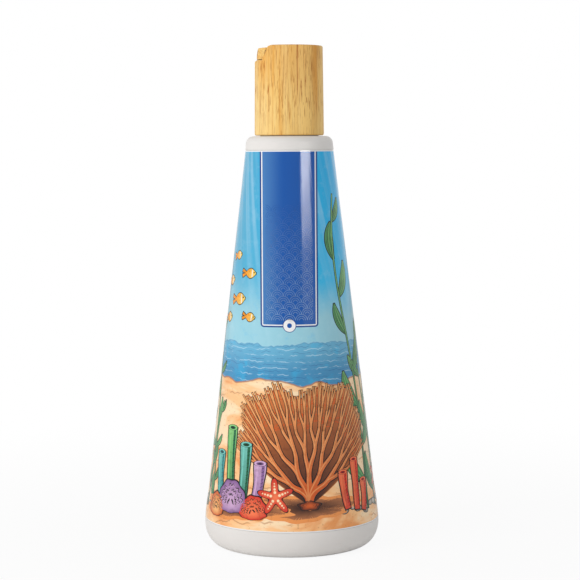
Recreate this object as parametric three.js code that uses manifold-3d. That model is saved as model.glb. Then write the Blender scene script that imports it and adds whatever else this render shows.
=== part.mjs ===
// Half-litre shampoo bottle with a screw-on disc-top closure.
// Millimetres, +Z up, origin at the centre of the foot, on the surface that the bottle stands on.
// The printed front of the label faces -Y, and the closure pours towards -X.

import * as THREE from "three";
import { mergeVertices } from "three/addons/utils/BufferGeometryUtils.js";
import Module from "manifold-3d";

// Bottle body: a foot ring, a rounded heel, a long cone and a tight shoulder
const footRadius = 33.5;
const footWidth = 2.4;
const puntRise = 4.2;
const wideRadius = 41.3;
const wideHeight = 10.9;
const coneFootRadius = 39.1;
const coneFootHeight = 30;
const shoulderRadius = 20;
const shoulderHeight = 193;
const shoulderCorner = 3.5;
const bottleWall = 1.1;

// Neck finish: a plain collar, a thread root and a bore, sized as a 28 mm finish
const threadRadius = 13.55;
const threadDepth = 1.1;
const neckHeight = 17.3;
const neckWall = 2;
const neckChamfer = 0.5;
const collarDepth = 0.2;
const collarHeight = 1.6;

// Printed label film in its shallow panel
const labelRecess = 0.45;
const labelGap = 0.12;
const labelFilm = 0.25;
const labelRise = 1.95;
const labelMargin = 6.5;
const labelEdgeGap = 0.15;

// Sealing washer inside the closure
const gasketBore = 8;
const gasketThickness = 1.2;
const gasketInset = 0.6;

// Inner cap: threaded skirt, deck and the well that holds the disc
const threadClearance = 0.25;
const skirtWall = 0.95;
const deckThickness = 1.8;
const wellWall = 0.85;

// Outer cap: the wood-look shell with its rim and its pouring notch
const capHeight = 41.6;
const capLift = 0.3;
const shellWall = 0.8;
const shellDraft = 0.4;
const rimWidth = 2.6;
const rimThickness = 3.1;
const rimRound = 0.7;
const hemHeight = 1.2;
const hemGrip = 0.15;
const hemRound = 0.9;
const notchDepth = 7.3;
const notchHalfWidth = 8;
const notchDraft = 0.6;
const flareHalfWidth = 12.2;
const flareDepth = 2.5;
const sillSlope = 0.8;
const noseSetback = 0.85;

// Disc: the plate that is pressed at the back, its nose, its barrel valve and its two stub pins
const discGap = 0.6;
const discSink = 1;
const discThickness = 1.6;
const discRound = 0.6;
const noseGap = 0.4;
const noseRound = 0.9;
const noseWall = 1.3;
const thumbRadius = 5.8;
const thumbDepth = 0.5;
const thumbBack = 6;
const pivotDepth = 5.5;
const pivotBack = 1.5;
const tiltRange = 22;
const spoutRadius = 1.7;
const spoutDrop = 2.7;
const spoutWall = 1.3;
const barrelRadius = 5.5;
const barrelHalfWidth = 4.8;
const portWidth = 1.8;
const portHalfLength = 3;
const pinRadius = 1.4;
const pinEngagement = 2.6;
const cheekThickness = 1.2;
const cheekRadius = 2.4;

// Seat of the valve and the bearings, moulded on the deck
const riserBore = 2.6;
const riserWall = 1.2;
const saddleFloor = 1.2;
const saddleWall = 0.85;
const saddleDepth = 3.6;
const bearingRadius = 2.6;
const bearingHalfSpan = 10.65;
const bearingWall = 1.1;
const snapNarrowing = 0.25;
const stopHalfWidth = 3;
const stopThickness = 1.6;

// Closure direction, and the clearance where one piece seats on another
const noseYaw = 7;
const seatGap = 0.3;

// Facets of round forms
const roundSteps = 60;
const smallSteps = 24;
const heelSteps = 6;
const blendSteps = 4;
const cornerSteps = 4;
const innerCornerSteps = 2;
const puntSteps = 5;
const edgeSteps = 3;
const noseSteps = 10;

// Places that follow from the driving sizes
const labelBottom = wideHeight + labelRise;
const labelTop = shoulderHeight - labelMargin;
const coneSlope = (shoulderRadius - coneFootRadius) / (shoulderHeight - coneFootHeight);
const neckRoot = threadRadius - threadDepth;
const neckBore = neckRoot - neckWall;
const neckTop = shoulderHeight + neckHeight;
const skirtBore = threadRadius + threadClearance;
const skirtRadius = skirtBore + skirtWall;
const shellBore = skirtRadius + seatGap;
const capTopRadius = shellBore + shellWall;
const capBottom = shoulderHeight + capLift;
const capTop = capBottom + capHeight;
const gasketBottom = neckTop + seatGap;
const deckBottom = gasketBottom + gasketThickness + seatGap;
const deckTop = deckBottom + deckThickness;
const wellBore = skirtRadius - wellWall;
const wellTop = capTop - rimThickness - seatGap;
const rimBore = capTopRadius - rimWidth;
const sillHeight = capTop - notchDepth + sillSlope;
const discRadius = rimBore - discGap;
const discTop = capTop - discSink;
const discUnder = discTop - discThickness;
const noseRadius = capTopRadius - noseSetback;
const noseBottom = sillHeight + seatGap;
const pivotHeight = capTop - pivotDepth;
const pivotX = -pivotBack;
const saddleBore = barrelRadius + seatGap;
const pinTip = bearingHalfSpan + pinEngagement;
const tilt = THREE.MathUtils.degToRad(tiltRange);

// Material colours and finishes
const bottlePlastic = new THREE.MeshStandardMaterial({
  color: new THREE.Color(0.86, 0.86, 0.85), roughness: 0.42, metalness: 0,
});
const printedFilm = new THREE.MeshStandardMaterial({
  color: new THREE.Color(0.36, 0.64, 0.82), roughness: 0.22, metalness: 0,
});
const woodLookPlastic = new THREE.MeshStandardMaterial({
  color: new THREE.Color(0.87, 0.69, 0.42), roughness: 0.5, metalness: 0,
});
const innerPlastic = new THREE.MeshStandardMaterial({
  color: new THREE.Color(0.88, 0.87, 0.83), roughness: 0.5, metalness: 0,
});
const foamSheet = new THREE.MeshStandardMaterial({
  color: new THREE.Color(0.93, 0.93, 0.91), roughness: 0.8, metalness: 0,
});

const wasm = await Module();
wasm.setup();

// A closed geometry as a solid that can be joined and cut.
function solidOf(geometry) {
  const bare = geometry.clone();
  bare.deleteAttribute("normal");
  bare.deleteAttribute("uv");
  const merged = mergeVertices(bare, 1e-4);
  const corners = merged.index.array;
  const faces = [];
  for (let i = 0; i < corners.length; i += 3) {
    const [a, b, c] = [corners[i], corners[i + 1], corners[i + 2]];
    if (a !== b && b !== c && c !== a) faces.push(a, b, c);
  }
  const vertProperties = new Float32Array(merged.attributes.position.array);
  const triVerts = new Uint32Array(faces);
  return new wasm.Manifold(new wasm.Mesh({ numProp: 3, vertProperties, triVerts }));
}

// A named mesh made from a solid.
function meshOf(name, solid, material) {
  const cut = solid.getMesh();
  const geometry = new THREE.BufferGeometry();
  geometry.setAttribute("position", new THREE.BufferAttribute(cut.vertProperties, 3));
  geometry.setIndex(new THREE.BufferAttribute(cut.triVerts, 1));
  geometry.computeVertexNormals();
  const mesh = new THREE.Mesh(geometry, material);
  mesh.name = name;
  return mesh;
}

function joined(solids) {
  return solids.reduce((whole, piece) => whole.add(piece));
}

// A profile of [radius, height] points turned about the Z axis.
function turned(profile, steps = roundSteps) {
  const points = profile.map(([radius, height]) => new THREE.Vector2(radius, height));
  return solidOf(new THREE.LatheGeometry(points, steps).rotateX(Math.PI / 2));
}

// A plain or tapered cylinder about the Z axis.
function post(radius, bottom, top, steps = roundSteps) {
  return turned([[0, bottom], [radius, bottom], [radius, top], [0, top]], steps);
}

// A profile of [radius, y] points turned about the disc's pivot.
function turnedAboutPivot(profile, steps = roundSteps) {
  const points = profile.map(([radius, y]) => new THREE.Vector2(radius, y));
  const geometry = new THREE.LatheGeometry(points, steps);
  return solidOf(geometry.translate(pivotX, 0, pivotHeight));
}

// A cylinder on the disc's pivot, from one y to another.
function pin(radius, from, to, steps = smallSteps) {
  return turnedAboutPivot([[0, from], [radius, from], [radius, to], [0, to]], steps);
}

// An outline in the YZ plane carried along X.
function carriedAlongX(outline, from, to) {
  const shape = new THREE.Shape(outline.map(([y, z]) => new THREE.Vector2(y, z)));
  const geometry = new THREE.ExtrudeGeometry(shape, { depth: to - from, bevelEnabled: false });
  const turn = new THREE.Matrix4().makeBasis(
    new THREE.Vector3(0, 1, 0), new THREE.Vector3(0, 0, 1), new THREE.Vector3(1, 0, 0));
  return solidOf(geometry.applyMatrix4(turn).translate(from, 0, 0));
}

// An outline in the XZ plane carried along Y.
function carriedAlongY(outline, from, to) {
  const shape = new THREE.Shape(outline.map(([x, z]) => new THREE.Vector2(x, z)));
  const geometry = new THREE.ExtrudeGeometry(shape, { depth: to - from, bevelEnabled: false });
  const turn = new THREE.Matrix4().makeBasis(
    new THREE.Vector3(1, 0, 0), new THREE.Vector3(0, 0, 1), new THREE.Vector3(0, -1, 0));
  return solidOf(geometry.applyMatrix4(turn).translate(0, to, 0));
}

function block(x0, x1, y0, y1, z0, z1) {
  return carriedAlongX([[y0, z0], [y1, z0], [y1, z1], [y0, z1]], x0, x1);
}

// Points of an elliptic arc, both ends included.
function arc(centreX, centreZ, radiusX, radiusZ, fromDegrees, toDegrees, steps) {
  return Array.from({ length: steps + 1 }, (_, i) => {
    const angle = THREE.MathUtils.degToRad(fromDegrees + (toDegrees - fromDegrees) * i / steps);
    return [centreX + radiusX * Math.cos(angle), centreZ + radiusZ * Math.sin(angle)];
  });
}

// Evenly spaced heights, both ends included.
function heights(from, to, steps) {
  return Array.from({ length: steps + 1 }, (_, i) => from + (to - from) * i / steps);
}

// The body's outer radius above its widest line: a smooth blend that runs out into the cone.
function bodyRadius(height) {
  if (height >= coneFootHeight) return coneFootRadius + coneSlope * (height - coneFootHeight);
  const span = coneFootHeight - wideHeight;
  const t = (height - wideHeight) / span;
  const towardsCone = t * t * (3 - 2 * t);
  const leaning = t * t * (t - 1) * coneSlope * span;
  return wideRadius + (coneFootRadius - wideRadius) * towardsCone + leaning;
}

// The body's wall between two heights, set in by a depth.
function bodyWall(from, to, depth) {
  const blend = heights(from, coneFootHeight, blendSteps);
  return [...blend, to].map((height) => [bodyRadius(height) - depth, height]);
}

// Blow-moulded bottle: one closed profile, up the outside and back down the inside.
function bottleBody() {
  const puntRadius = footRadius - footWidth;
  const cornerHeight = shoulderHeight - shoulderCorner;
  const cornerRadius = bodyRadius(cornerHeight) - shoulderCorner;
  const heel = [wideRadius - footRadius, wideHeight];
  const innerCorner = Math.max(shoulderCorner - bottleWall, shoulderCorner / 3);
  const profile = [
    ...arc(0, 0, puntRadius, puntRise, 90, 0, puntSteps),
    ...arc(footRadius, wideHeight, heel[0], heel[1], -90, 0, heelSteps),
    [bodyRadius(labelBottom), labelBottom],
    ...bodyWall(labelBottom, labelTop, labelRecess),
    [bodyRadius(labelTop), labelTop],
    ...arc(cornerRadius, cornerHeight, shoulderCorner, shoulderCorner, 0, 90, cornerSteps),
    [threadRadius - collarDepth, shoulderHeight],
    [threadRadius - collarDepth, shoulderHeight + collarHeight],
    [neckRoot, shoulderHeight + collarHeight + threadDepth],
    [neckRoot, neckTop - neckChamfer],
    [neckRoot - neckChamfer, neckTop],
    [neckBore, neckTop],
    [neckBore, shoulderHeight - bottleWall],
    ...arc(cornerRadius, shoulderHeight - bottleWall - innerCorner,
      shoulderCorner - innerCorner / 2, innerCorner, 90, 0, innerCornerSteps),
    ...bodyWall(wideHeight, shoulderHeight - shoulderCorner - bottleWall, bottleWall).reverse(),
    ...arc(footRadius, wideHeight, heel[0] - bottleWall, heel[1] - bottleWall,
      0, -90, heelSteps).slice(1),
    ...arc(0, bottleWall, puntRadius + bottleWall, puntRise, 0, 90, puntSteps),
  ];
  return turned(profile);
}

// Printed film: a thin sleeve in the bottle's panel.
function labelSleeve() {
  const outside = bodyWall(labelBottom + labelEdgeGap, labelTop - labelEdgeGap,
    labelRecess - labelGap - labelFilm);
  const inside = bodyWall(labelBottom + labelEdgeGap, labelTop - labelEdgeGap,
    labelRecess - labelGap);
  return turned([...outside, ...inside.reverse(), outside[0]]);
}

// Foam washer that is squeezed between the deck and the lip of the neck.
function neckGasket() {
  const edge = skirtBore - gasketInset;
  const top = gasketBottom + gasketThickness;
  return turned([
    [gasketBore, gasketBottom], [edge, gasketBottom], [edge, top], [gasketBore, top],
    [gasketBore, gasketBottom],
  ]);
}

// The notch that the nose rises through, drawn from the pouring side and set in by a gap.
function notchOutline(bottom, top, gap) {
  const flareBottom = capTop - flareDepth;
  const flareRun = (flareHalfWidth - notchHalfWidth - notchDraft) / flareDepth;
  const half = [
    [notchHalfWidth - gap, bottom],
    [notchHalfWidth + notchDraft - gap, flareBottom],
    [notchHalfWidth + notchDraft - gap + flareRun * (top - flareBottom), top],
  ];
  return [...half, ...half.map(([y, z]) => [-y, z]).reverse()];
}

// Wood-look shell: a long skirt, a flat rim round the disc and a hem that grips the inner cap.
function outerCap() {
  const bottomRadius = capTopRadius + shellDraft;
  const hemBore = skirtRadius - hemGrip;
  const shell = turned([
    [hemBore, capBottom],
    ...arc(bottomRadius - hemRound, capBottom + hemRound, hemRound, hemRound, -90, 0, edgeSteps),
    ...arc(capTopRadius - rimRound, capTop - rimRound, rimRound, rimRound, 0, 90, edgeSteps),
    [rimBore + discRound / 2, capTop],
    [rimBore, capTop - discRound / 2],
    [rimBore, capTop - rimThickness],
    [shellBore, capTop - rimThickness],
    [shellBore, capBottom + hemHeight + seatGap],
    [hemBore, capBottom + hemHeight],
    [hemBore, capBottom],
  ]);
  const above = capTop + rimRound;
  const notch = carriedAlongX(notchOutline(sillHeight, above, 0), 0, 2 * capTopRadius);
  const outerSill = sillHeight - sillSlope;
  const ramp = carriedAlongY([
    [noseRadius, sillHeight],
    [capTopRadius + shellDraft, outerSill],
    [capTopRadius + shellDraft, sillHeight + rimRound],
    [noseRadius, sillHeight + rimRound],
  ], -notchHalfWidth, notchHalfWidth);
  return shell.subtract(notch).subtract(ramp);
}

// Inner cap: threaded skirt and deck, with the riser, the valve's saddle, the bearings and the stop.
function innerCap() {
  const skirtBottom = capBottom + hemHeight + seatGap;
  const cup = turned([
    [0, deckBottom],
    [skirtBore, deckBottom],
    [skirtBore, skirtBottom],
    [skirtRadius, skirtBottom],
    [skirtRadius, wellTop],
    [wellBore, wellTop],
    [wellBore, deckTop],
    [0, deckTop],
  ]);
  const notch = carriedAlongX(notchOutline(sillHeight, capTop, 0), 0, 2 * capTopRadius);
  const saddleTop = pivotHeight - saddleDepth;
  const saddleBottom = pivotHeight - saddleBore - saddleFloor;
  const saddleReach = saddleBore - saddleWall / 2;
  const saddleHalfWidth = barrelHalfWidth + saddleWall;
  const riser = post(riserBore + riserWall, deckBottom, saddleTop, smallSteps)
    .translate([pivotX, 0, 0]);
  const saddle = block(pivotX - saddleReach, pivotX + saddleReach, -saddleHalfWidth, saddleHalfWidth,
    saddleBottom, saddleTop);
  const barrelSeat = pin(saddleBore, -skirtRadius, skirtRadius, roundSteps);
  const bore = post(riserBore, deckBottom - seatGap, saddleBottom, smallSteps)
    .translate([pivotX, 0, 0]);
  const port = block(pivotX - portWidth / 2, pivotX + portWidth / 2, -portHalfLength, portHalfLength,
    saddleBottom - seatGap, saddleTop);
  const valveSeat = joined([riser, saddle]).subtract(barrelSeat);
  const column = [
    [pivotX - bearingRadius, deckBottom],
    [pivotX + bearingRadius, deckBottom],
    ...arc(pivotX, pivotHeight, bearingRadius, bearingRadius, 0, 180, smallSteps / 2),
  ];
  const bearings = joined([
    carriedAlongY(column, bearingHalfSpan, skirtRadius),
    carriedAlongY(column, -skirtRadius, -bearingHalfSpan),
  ]);
  const socketHalfSpan = skirtRadius - bearingWall;
  const snapHalfWidth = pinRadius - snapNarrowing;
  const sockets = joined([
    pin(pinRadius + seatGap, -socketHalfSpan, socketHalfSpan),
    block(pivotX - snapHalfWidth, pivotX + snapHalfWidth, -socketHalfSpan, socketHalfSpan,
      pivotHeight, capTop),
  ]);
  const rearArm = discRadius - pivotBack;
  const stopTop = pivotHeight - rearArm * Math.sin(tilt)
    + (discUnder - pivotHeight) * Math.cos(tilt) - seatGap;
  const stop = block(-skirtRadius, -wellBore + stopThickness, -stopHalfWidth, stopHalfWidth,
    deckBottom, stopTop);
  const fittings = joined([bearings.subtract(sockets), stop])
    .intersect(post(skirtRadius - wellWall / 2, deckBottom, wellTop));
  return joined([cup.subtract(notch), valveSeat, fittings]).subtract(bore).subtract(port);
}

// Disc: plate, nose with its spout, barrel valve, cheeks and stub pins.
function pressDisc() {
  const plate = turned([
    [0, discUnder],
    [discRadius, discUnder],
    ...arc(discRadius - discRound, discTop - discRound, discRound, discRound, 0, 90, edgeSteps),
    [0, discTop],
  ]);
  const noseBlank = turned([
    [0, noseBottom],
    [noseRadius, noseBottom],
    ...arc(noseRadius - noseRound, discTop - noseRound, noseRound, noseRound, 0, 90, edgeSteps),
    [0, discTop],
  ]);
  const noseShape = carriedAlongX(notchOutline(noseBottom, discTop, noseGap), 0, 2 * noseRadius);
  const sweep = noseSweep(0);
  const nose = noseBlank.intersect(noseShape).intersect(sweep);
  const hollowHalf = notchHalfWidth - noseGap - noseWall;
  const hollow = noseSweep(noseWall).intersect(
    block(0, 2 * noseRadius, -hollowHalf, hollowHalf, noseBottom - seatGap, discUnder));
  const spoutHeight = discTop - spoutDrop;
  const pipeHalf = spoutRadius + spoutWall;
  const pipe = block(pivotX, noseRadius, -pipeHalf, pipeHalf, noseBottom, discUnder)
    .intersect(sweep);
  const barrel = pin(barrelRadius, -barrelHalfWidth, barrelHalfWidth, roundSteps)
    .intersect(post(discRadius, pivotHeight - 2 * barrelRadius, discUnder + discThickness / 2));
  const cheekOutline = [
    [pivotX - cheekRadius, discUnder + discThickness / 2],
    ...arc(pivotX, pivotHeight, cheekRadius, cheekRadius, 180, 360, smallSteps / 2),
    [pivotX + cheekRadius, discUnder + discThickness / 2],
  ];
  const cheekOuter = bearingHalfSpan - noseGap;
  const cheekInner = cheekOuter - cheekThickness;
  const cheeks = [
    carriedAlongY(cheekOutline, cheekInner, cheekOuter),
    carriedAlongY(cheekOutline, -cheekOuter, -cheekInner),
    pin(pinRadius, cheekInner, pinTip),
    pin(pinRadius, -pinTip, -cheekInner),
  ];
  const channel = carriedAlongX(
    arc(0, spoutHeight, spoutRadius, spoutRadius, 0, 360, smallSteps).slice(1),
    pivotX - spoutRadius, 2 * noseRadius);
  const drop = block(-portWidth / 2, portWidth / 2, -portHalfLength, portHalfLength,
    -2 * barrelRadius, spoutHeight - pivotHeight)
    .rotate([0, tiltRange, 0]).translate([pivotX, 0, pivotHeight]);
  return joined([nose.subtract(hollow), plate, pipe, barrel, ...cheeks])
    .subtract(channel).subtract(drop).subtract(thumbDish());
}

// The space that the nose sweeps as it tilts: each slice across it is an arc about the pivot.
function noseSweep(inset) {
  const reach = noseRadius - inset;
  const halfWidth = Math.min(flareHalfWidth, reach);
  const outline = heights(-halfWidth, halfWidth, noseSteps)
    .map((y) => [Math.sqrt(reach * reach - y * y) + pivotBack, y]);
  return turnedAboutPivot([[0, -halfWidth], ...outline, [0, halfWidth]]);
}

// A shallow dish for the thumb on the back half of the disc.
function thumbDish() {
  const bowl = arc(0, discTop, thumbRadius, thumbDepth, -90, 0, edgeSteps + 1);
  return turned([...bowl, [thumbRadius, discTop + thumbDepth], [0, discTop + thumbDepth]],
    smallSteps).translate([-thumbBack, 0, 0]);
}

const closure = new THREE.Group();
closure.rotation.z = THREE.MathUtils.degToRad(180 + noseYaw);
closure.add(meshOf("outer_cap", outerCap(), woodLookPlastic));
closure.add(meshOf("inner_cap", innerCap(), innerPlastic));
closure.add(meshOf("press_disc", pressDisc(), woodLookPlastic));

const bottle = new THREE.Group();
bottle.add(meshOf("bottle_body", bottleBody(), bottlePlastic));
bottle.add(meshOf("label_sleeve", labelSleeve(), printedFilm));
bottle.add(meshOf("neck_gasket", neckGasket(), foamSheet));
bottle.add(closure);

export default bottle;
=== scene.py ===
import math

import bmesh
import bpy
import numpy as np
from bpy.props import FloatProperty, FloatVectorProperty, IntProperty, PointerProperty
from mathutils import Matrix, Vector


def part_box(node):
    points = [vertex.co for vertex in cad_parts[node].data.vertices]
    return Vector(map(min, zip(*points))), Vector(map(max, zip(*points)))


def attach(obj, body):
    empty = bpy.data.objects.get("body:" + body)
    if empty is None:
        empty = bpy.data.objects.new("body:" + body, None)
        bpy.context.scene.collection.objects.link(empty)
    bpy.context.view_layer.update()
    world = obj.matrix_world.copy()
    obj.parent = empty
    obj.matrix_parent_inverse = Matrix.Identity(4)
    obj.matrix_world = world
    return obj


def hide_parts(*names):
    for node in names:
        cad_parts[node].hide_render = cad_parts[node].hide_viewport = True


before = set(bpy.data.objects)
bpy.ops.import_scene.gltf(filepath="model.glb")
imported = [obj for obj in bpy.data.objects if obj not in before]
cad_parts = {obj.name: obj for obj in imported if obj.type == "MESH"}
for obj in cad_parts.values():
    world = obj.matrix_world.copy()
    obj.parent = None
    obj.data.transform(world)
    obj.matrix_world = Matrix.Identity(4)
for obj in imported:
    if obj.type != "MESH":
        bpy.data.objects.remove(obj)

bl_info = {
    "name": "Shampoo bottle with a disc-top closure",
    "version": (1, 0, 0),
    "blender": (4, 5, 0),
    "location": "3D View > Sidebar > Bottle",
    "description": "Dresses the packed bottle, its printed film and its closure",
    "category": "Add Mesh",
}

MM = 0.001
TURN = 2 * math.pi
# Angle of the printed front, which looks along -Y.
FRONT = -TURN / 4
# Steps of the wall's outline up the straight cone.
CONE_STEPS = 12
# Layer of a drawing's underside, which lies inside the film.
FOOT_LAYER = -6.0
# Share of a filled shape that its middle face takes.
CORE = 0.05
# Soft edge of the lines printed on the film, in millimetres.
BLUR = 0.06
# A turn that counts as straight, the distance of doubles, and a length just over nothing.
STRAIGHT, DOUBLES, TINY = 1e-3, 1e-7, 1e-9
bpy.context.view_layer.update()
BODY_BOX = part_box("bottle_body")
FILM_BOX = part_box("label_sleeve")
SHELL_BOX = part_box("outer_cap")


def millimetres(name, description, default):
    """A length in a property group, written in millimetres and kept in metres."""
    return FloatProperty(
        name=name, description=description, default=default * MM, unit="LENGTH", precision=5)


def degrees(name, description, default):
    """An angle in a property group, written in degrees."""
    return FloatProperty(
        name=name, description=description, default=math.radians(default), subtype="ANGLE")


def linear(red, green, blue):
    """Screen colour, 0 to 255, as the linear colour that the shaders take."""
    share = np.array([red, green, blue]) / 255
    light = np.where(share <= 0.04045, share / 12.92, ((share + 0.055) / 1.055) ** 2.4)
    return tuple(float(part) for part in light)


def colour(name, description, red, green, blue):
    """A colour in a property group, written as a screen colour."""
    return FloatVectorProperty(
        name=name, description=description, default=linear(red, green, blue),
        subtype="COLOR", size=3, min=0, max=1)


class BottleSizes(bpy.types.PropertyGroup):
    """Blow-moulded bottle and its neck finish."""
    foot_radius: millimetres("Foot radius", "Outer edge of the ring it stands on", 33.5)
    foot_width: millimetres("Foot width", "Width of the ring it stands on", 2.4)
    punt_rise: millimetres("Punt rise", "How far the base arches up", 4.2)
    wide_radius: millimetres("Widest radius", "Radius at the heel", BODY_BOX[1].x / MM)
    wide_height: millimetres("Widest height", "Height of the widest line", 10.9)
    cone_foot_radius: millimetres("Cone foot radius", "Radius where the cone starts", 39.1)
    cone_foot_height: millimetres("Cone foot height", "Height where the cone starts", 30)
    shoulder_radius: millimetres("Shoulder radius", "The cone's radius at the shoulder", 20)
    shoulder_height: millimetres("Shoulder height", "Height of the flat shoulder", 193)
    shoulder_corner: millimetres("Shoulder corner", "Rounding of the shoulder", 3.5)
    wall: millimetres("Wall", "Thickness of the moulded wall", 1.1)
    panel_depth: millimetres("Panel depth", "Depth of the panel for the film", 0.45)
    thread_radius: millimetres("Thread radius", "Outer radius of the neck's thread", 13.55)
    thread_depth: millimetres("Thread depth", "Height of the neck's thread", 1.1)
    thread_pitch: millimetres("Thread pitch", "Rise of the thread in one turn", 4.233)
    thread_start: millimetres("Thread start", "Height at which the thread starts", 198.6)
    neck_wall: millimetres("Neck wall", "Wall behind the thread", 2)
    neck_top: millimetres("Neck top", "Height of the lip", BODY_BOX[1].z / MM)
    columns: IntProperty(name="Columns", description="Steps round the bottle", default=256, min=24)


class FilmSizes(bpy.types.PropertyGroup):
    """Printed film round the bottle."""
    bottom: millimetres("Bottom", "Lower edge of the film", FILM_BOX[0].z / MM)
    top: millimetres("Top", "Upper edge of the film", FILM_BOX[1].z / MM)
    sink: millimetres("Sink", "How far the film lies below the bottle's outline", 0.08)
    thickness: millimetres("Thickness", "Thickness of the film", 0.25)
    lap_width: millimetres("Lap width", "Overlap of the film's ends at the back", 5)
    lap_rise: millimetres("Lap rise", "Height of the overlap", 0.05)
    margin: millimetres("Margin", "Bare white edge of the film", 0.45)
    banner_half_width: millimetres("Banner half width", "Half the dark panel's width", 13.25)
    banner_foot: millimetres("Banner foot", "Lower edge of the dark panel", 105.8)
    banner_side: millimetres("Banner side", "Sideways place of the dark panel's middle", -0.5)
    banner_corner: millimetres("Banner corner", "Corner radius of the dark panel", 1.5)
    keyline_inset: millimetres("Keyline inset", "Dark border outside the white line", 0.7)
    keyline_width: millimetres("Keyline width", "Width of the white line", 0.5)
    sand_height: millimetres("Sand height", "Where the sand bed meets the water", 80)
    reef_height: millimetres("Reef height", "Top of the far reef", 98.5)
    ink_line: millimetres("Ink line", "Width of the drawn outlines", 0.50)
    ink_base: millimetres("Ink base", "Height of the first printed layer over the film", 0.03)
    ink_lift: millimetres("Ink lift", "Height of one printed layer over the next", 0.007)


class ClosureSizes(bpy.types.PropertyGroup):
    """Screw-on disc-top closure."""
    yaw: degrees("Yaw", "Direction in which the nose points", 187)
    skirt_radius: millimetres("Skirt radius", "Outer radius of the inner cap", 14.75)
    shell_bore: millimetres("Shell bore", "Inner radius of the shell", 15.05)
    shell_radius: millimetres("Shell radius", "Outer radius at the top", 15.85)
    shell_draft: millimetres("Shell draft", "How much wider the shell is at its foot", 0.4)
    hem_grip: millimetres("Hem grip", "How far the hem reaches under the inner cap", 0.15)
    hem_height: millimetres("Hem height", "Height of the hem", 1.2)
    hem_round: millimetres("Hem round", "Rounding of the shell's lower edge", 0.9)
    rim_width: millimetres("Rim width", "Width of the rim round the disc", 2.6)
    rim_thickness: millimetres("Rim thickness", "Height of the rim", 3.1)
    rim_round: millimetres("Rim round", "Rounding of the rim", 0.7)
    notch_depth: millimetres("Notch depth", "Depth of the pouring notch", 7.3)
    notch_half_width: millimetres("Notch half width", "Half the notch's width", 8)
    notch_draft: millimetres("Notch draft", "How much the notch opens upwards", 0.6)
    flare_half_width: millimetres("Flare half width", "Half the notch's width at the rim", 12.2)
    flare_depth: millimetres("Flare depth", "Height of the flared part", 2.5)
    sill_slope: millimetres("Sill slope", "Fall of the sill towards the outside", 0.8)
    edge_round: millimetres("Edge round", "Rounding of the moulded edges", 0.22)
    disc_edge_round: millimetres("Disc edge round", "Rounding of the disc's edges", 0.16)
    columns: IntProperty(name="Columns", description="Steps round the shell", default=192, min=24)


class PrintColours(bpy.types.PropertyGroup):
    """Inks of the printed film."""
    water_high: colour("Water, high", "Water near the surface", 8, 176, 234)
    water_middle: colour("Water, middle", "Water half way down", 40, 186, 236)
    water_low: colour("Water, low", "Pale water over the reef", 152, 206, 222)
    water_side: colour("Water, left", "Greyer water towards the left", 92, 156, 178)
    ray: colour("Light ray", "Slanting light in the water", 200, 232, 245)
    reef: colour("Far reef", "Hazy reef in the distance", 104, 176, 210)
    reef_edge: colour("Far reef edge", "Deeper blue at the reef's foot", 66, 142, 188)
    sand: colour("Sand", "Sand bed", 252, 198, 142)
    sand_pale: colour("Pale sand", "Paler sand", 253, 224, 184)
    sand_warm: colour("Warm sand", "Orange patches in the sand", 236, 150, 82)
    sand_ink: colour("Sand ink", "Drawn ripples in the sand", 176, 112, 70)
    banner: colour("Banner", "Dark panel", 0, 82, 166)
    banner_pale: colour("Banner, pale", "Lighter side of the panel", 80, 136, 190)
    banner_edge: colour("Banner edge", "Border of the panel", 26, 66, 138)
    white: colour("White", "Bare film", 240, 241, 242)
    ink: colour("Ink", "Drawn outlines", 14, 9, 9)
    coral: colour("Coral", "Sea fan", 206, 90, 32)
    coral_light: colour("Coral, light", "Light side of the sea fan", 248, 184, 116)
    coral_wash: colour("Coral wash", "Wash behind the sea fan", 214, 120, 60)
    coral_shade: colour("Coral shade", "Deep shade at the sea fan's foot", 48, 16, 10)
    kelp: colour("Kelp", "Weed in the shade", 24, 100, 66)
    kelp_light: colour("Kelp, light", "Weed in the light", 136, 204, 126)
    star: colour("Starfish", "Starfish", 208, 48, 34)
    star_light: colour("Starfish, light", "Light ridge of the starfish", 246, 122, 78)
    mound: colour("Mound", "Rounded coral", 134, 96, 150)
    mound_light: colour("Mound, light", "Light side of the rounded coral", 206, 168, 206)
    teal: colour("Teal", "Small sponges and fish", 30, 128, 132)
    teal_light: colour("Teal, light", "Light side of the small sponges", 118, 198, 186)
    pebble: colour("Pebble", "Pebbles", 128, 120, 112)
    pebble_light: colour("Pebble, light", "Light side of the pebbles", 206, 196, 180)
    fish: colour("Fish", "Small fish", 236, 148, 28)
    fish_light: colour("Fish, light", "Bellies of the small fish", 250, 218, 110)


class PlasticColours(bpy.types.PropertyGroup):
    """Plastics of the bottle and the closure."""
    bottle: colour("Bottle", "White bottle", 228, 225, 222)
    inner: colour("Inner cap", "Natural white moulding", 228, 226, 218)
    foam: colour("Washer", "Foam washer", 238, 237, 232)
    wood: colour("Wood", "Honey ground of the wood print", 240, 198, 118)
    wood_pale: colour("Wood, pale", "Pale wood between the grain", 244, 215, 148)
    wood_glow: colour("Wood, bright", "Bright bands that run up the wood", 253, 210, 126)
    wood_warm: colour("Wood, warm", "Warm bands of the wood print", 223, 155, 66)
    wood_line: colour("Wood line", "Dark grain lines", 172, 94, 28)


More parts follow.
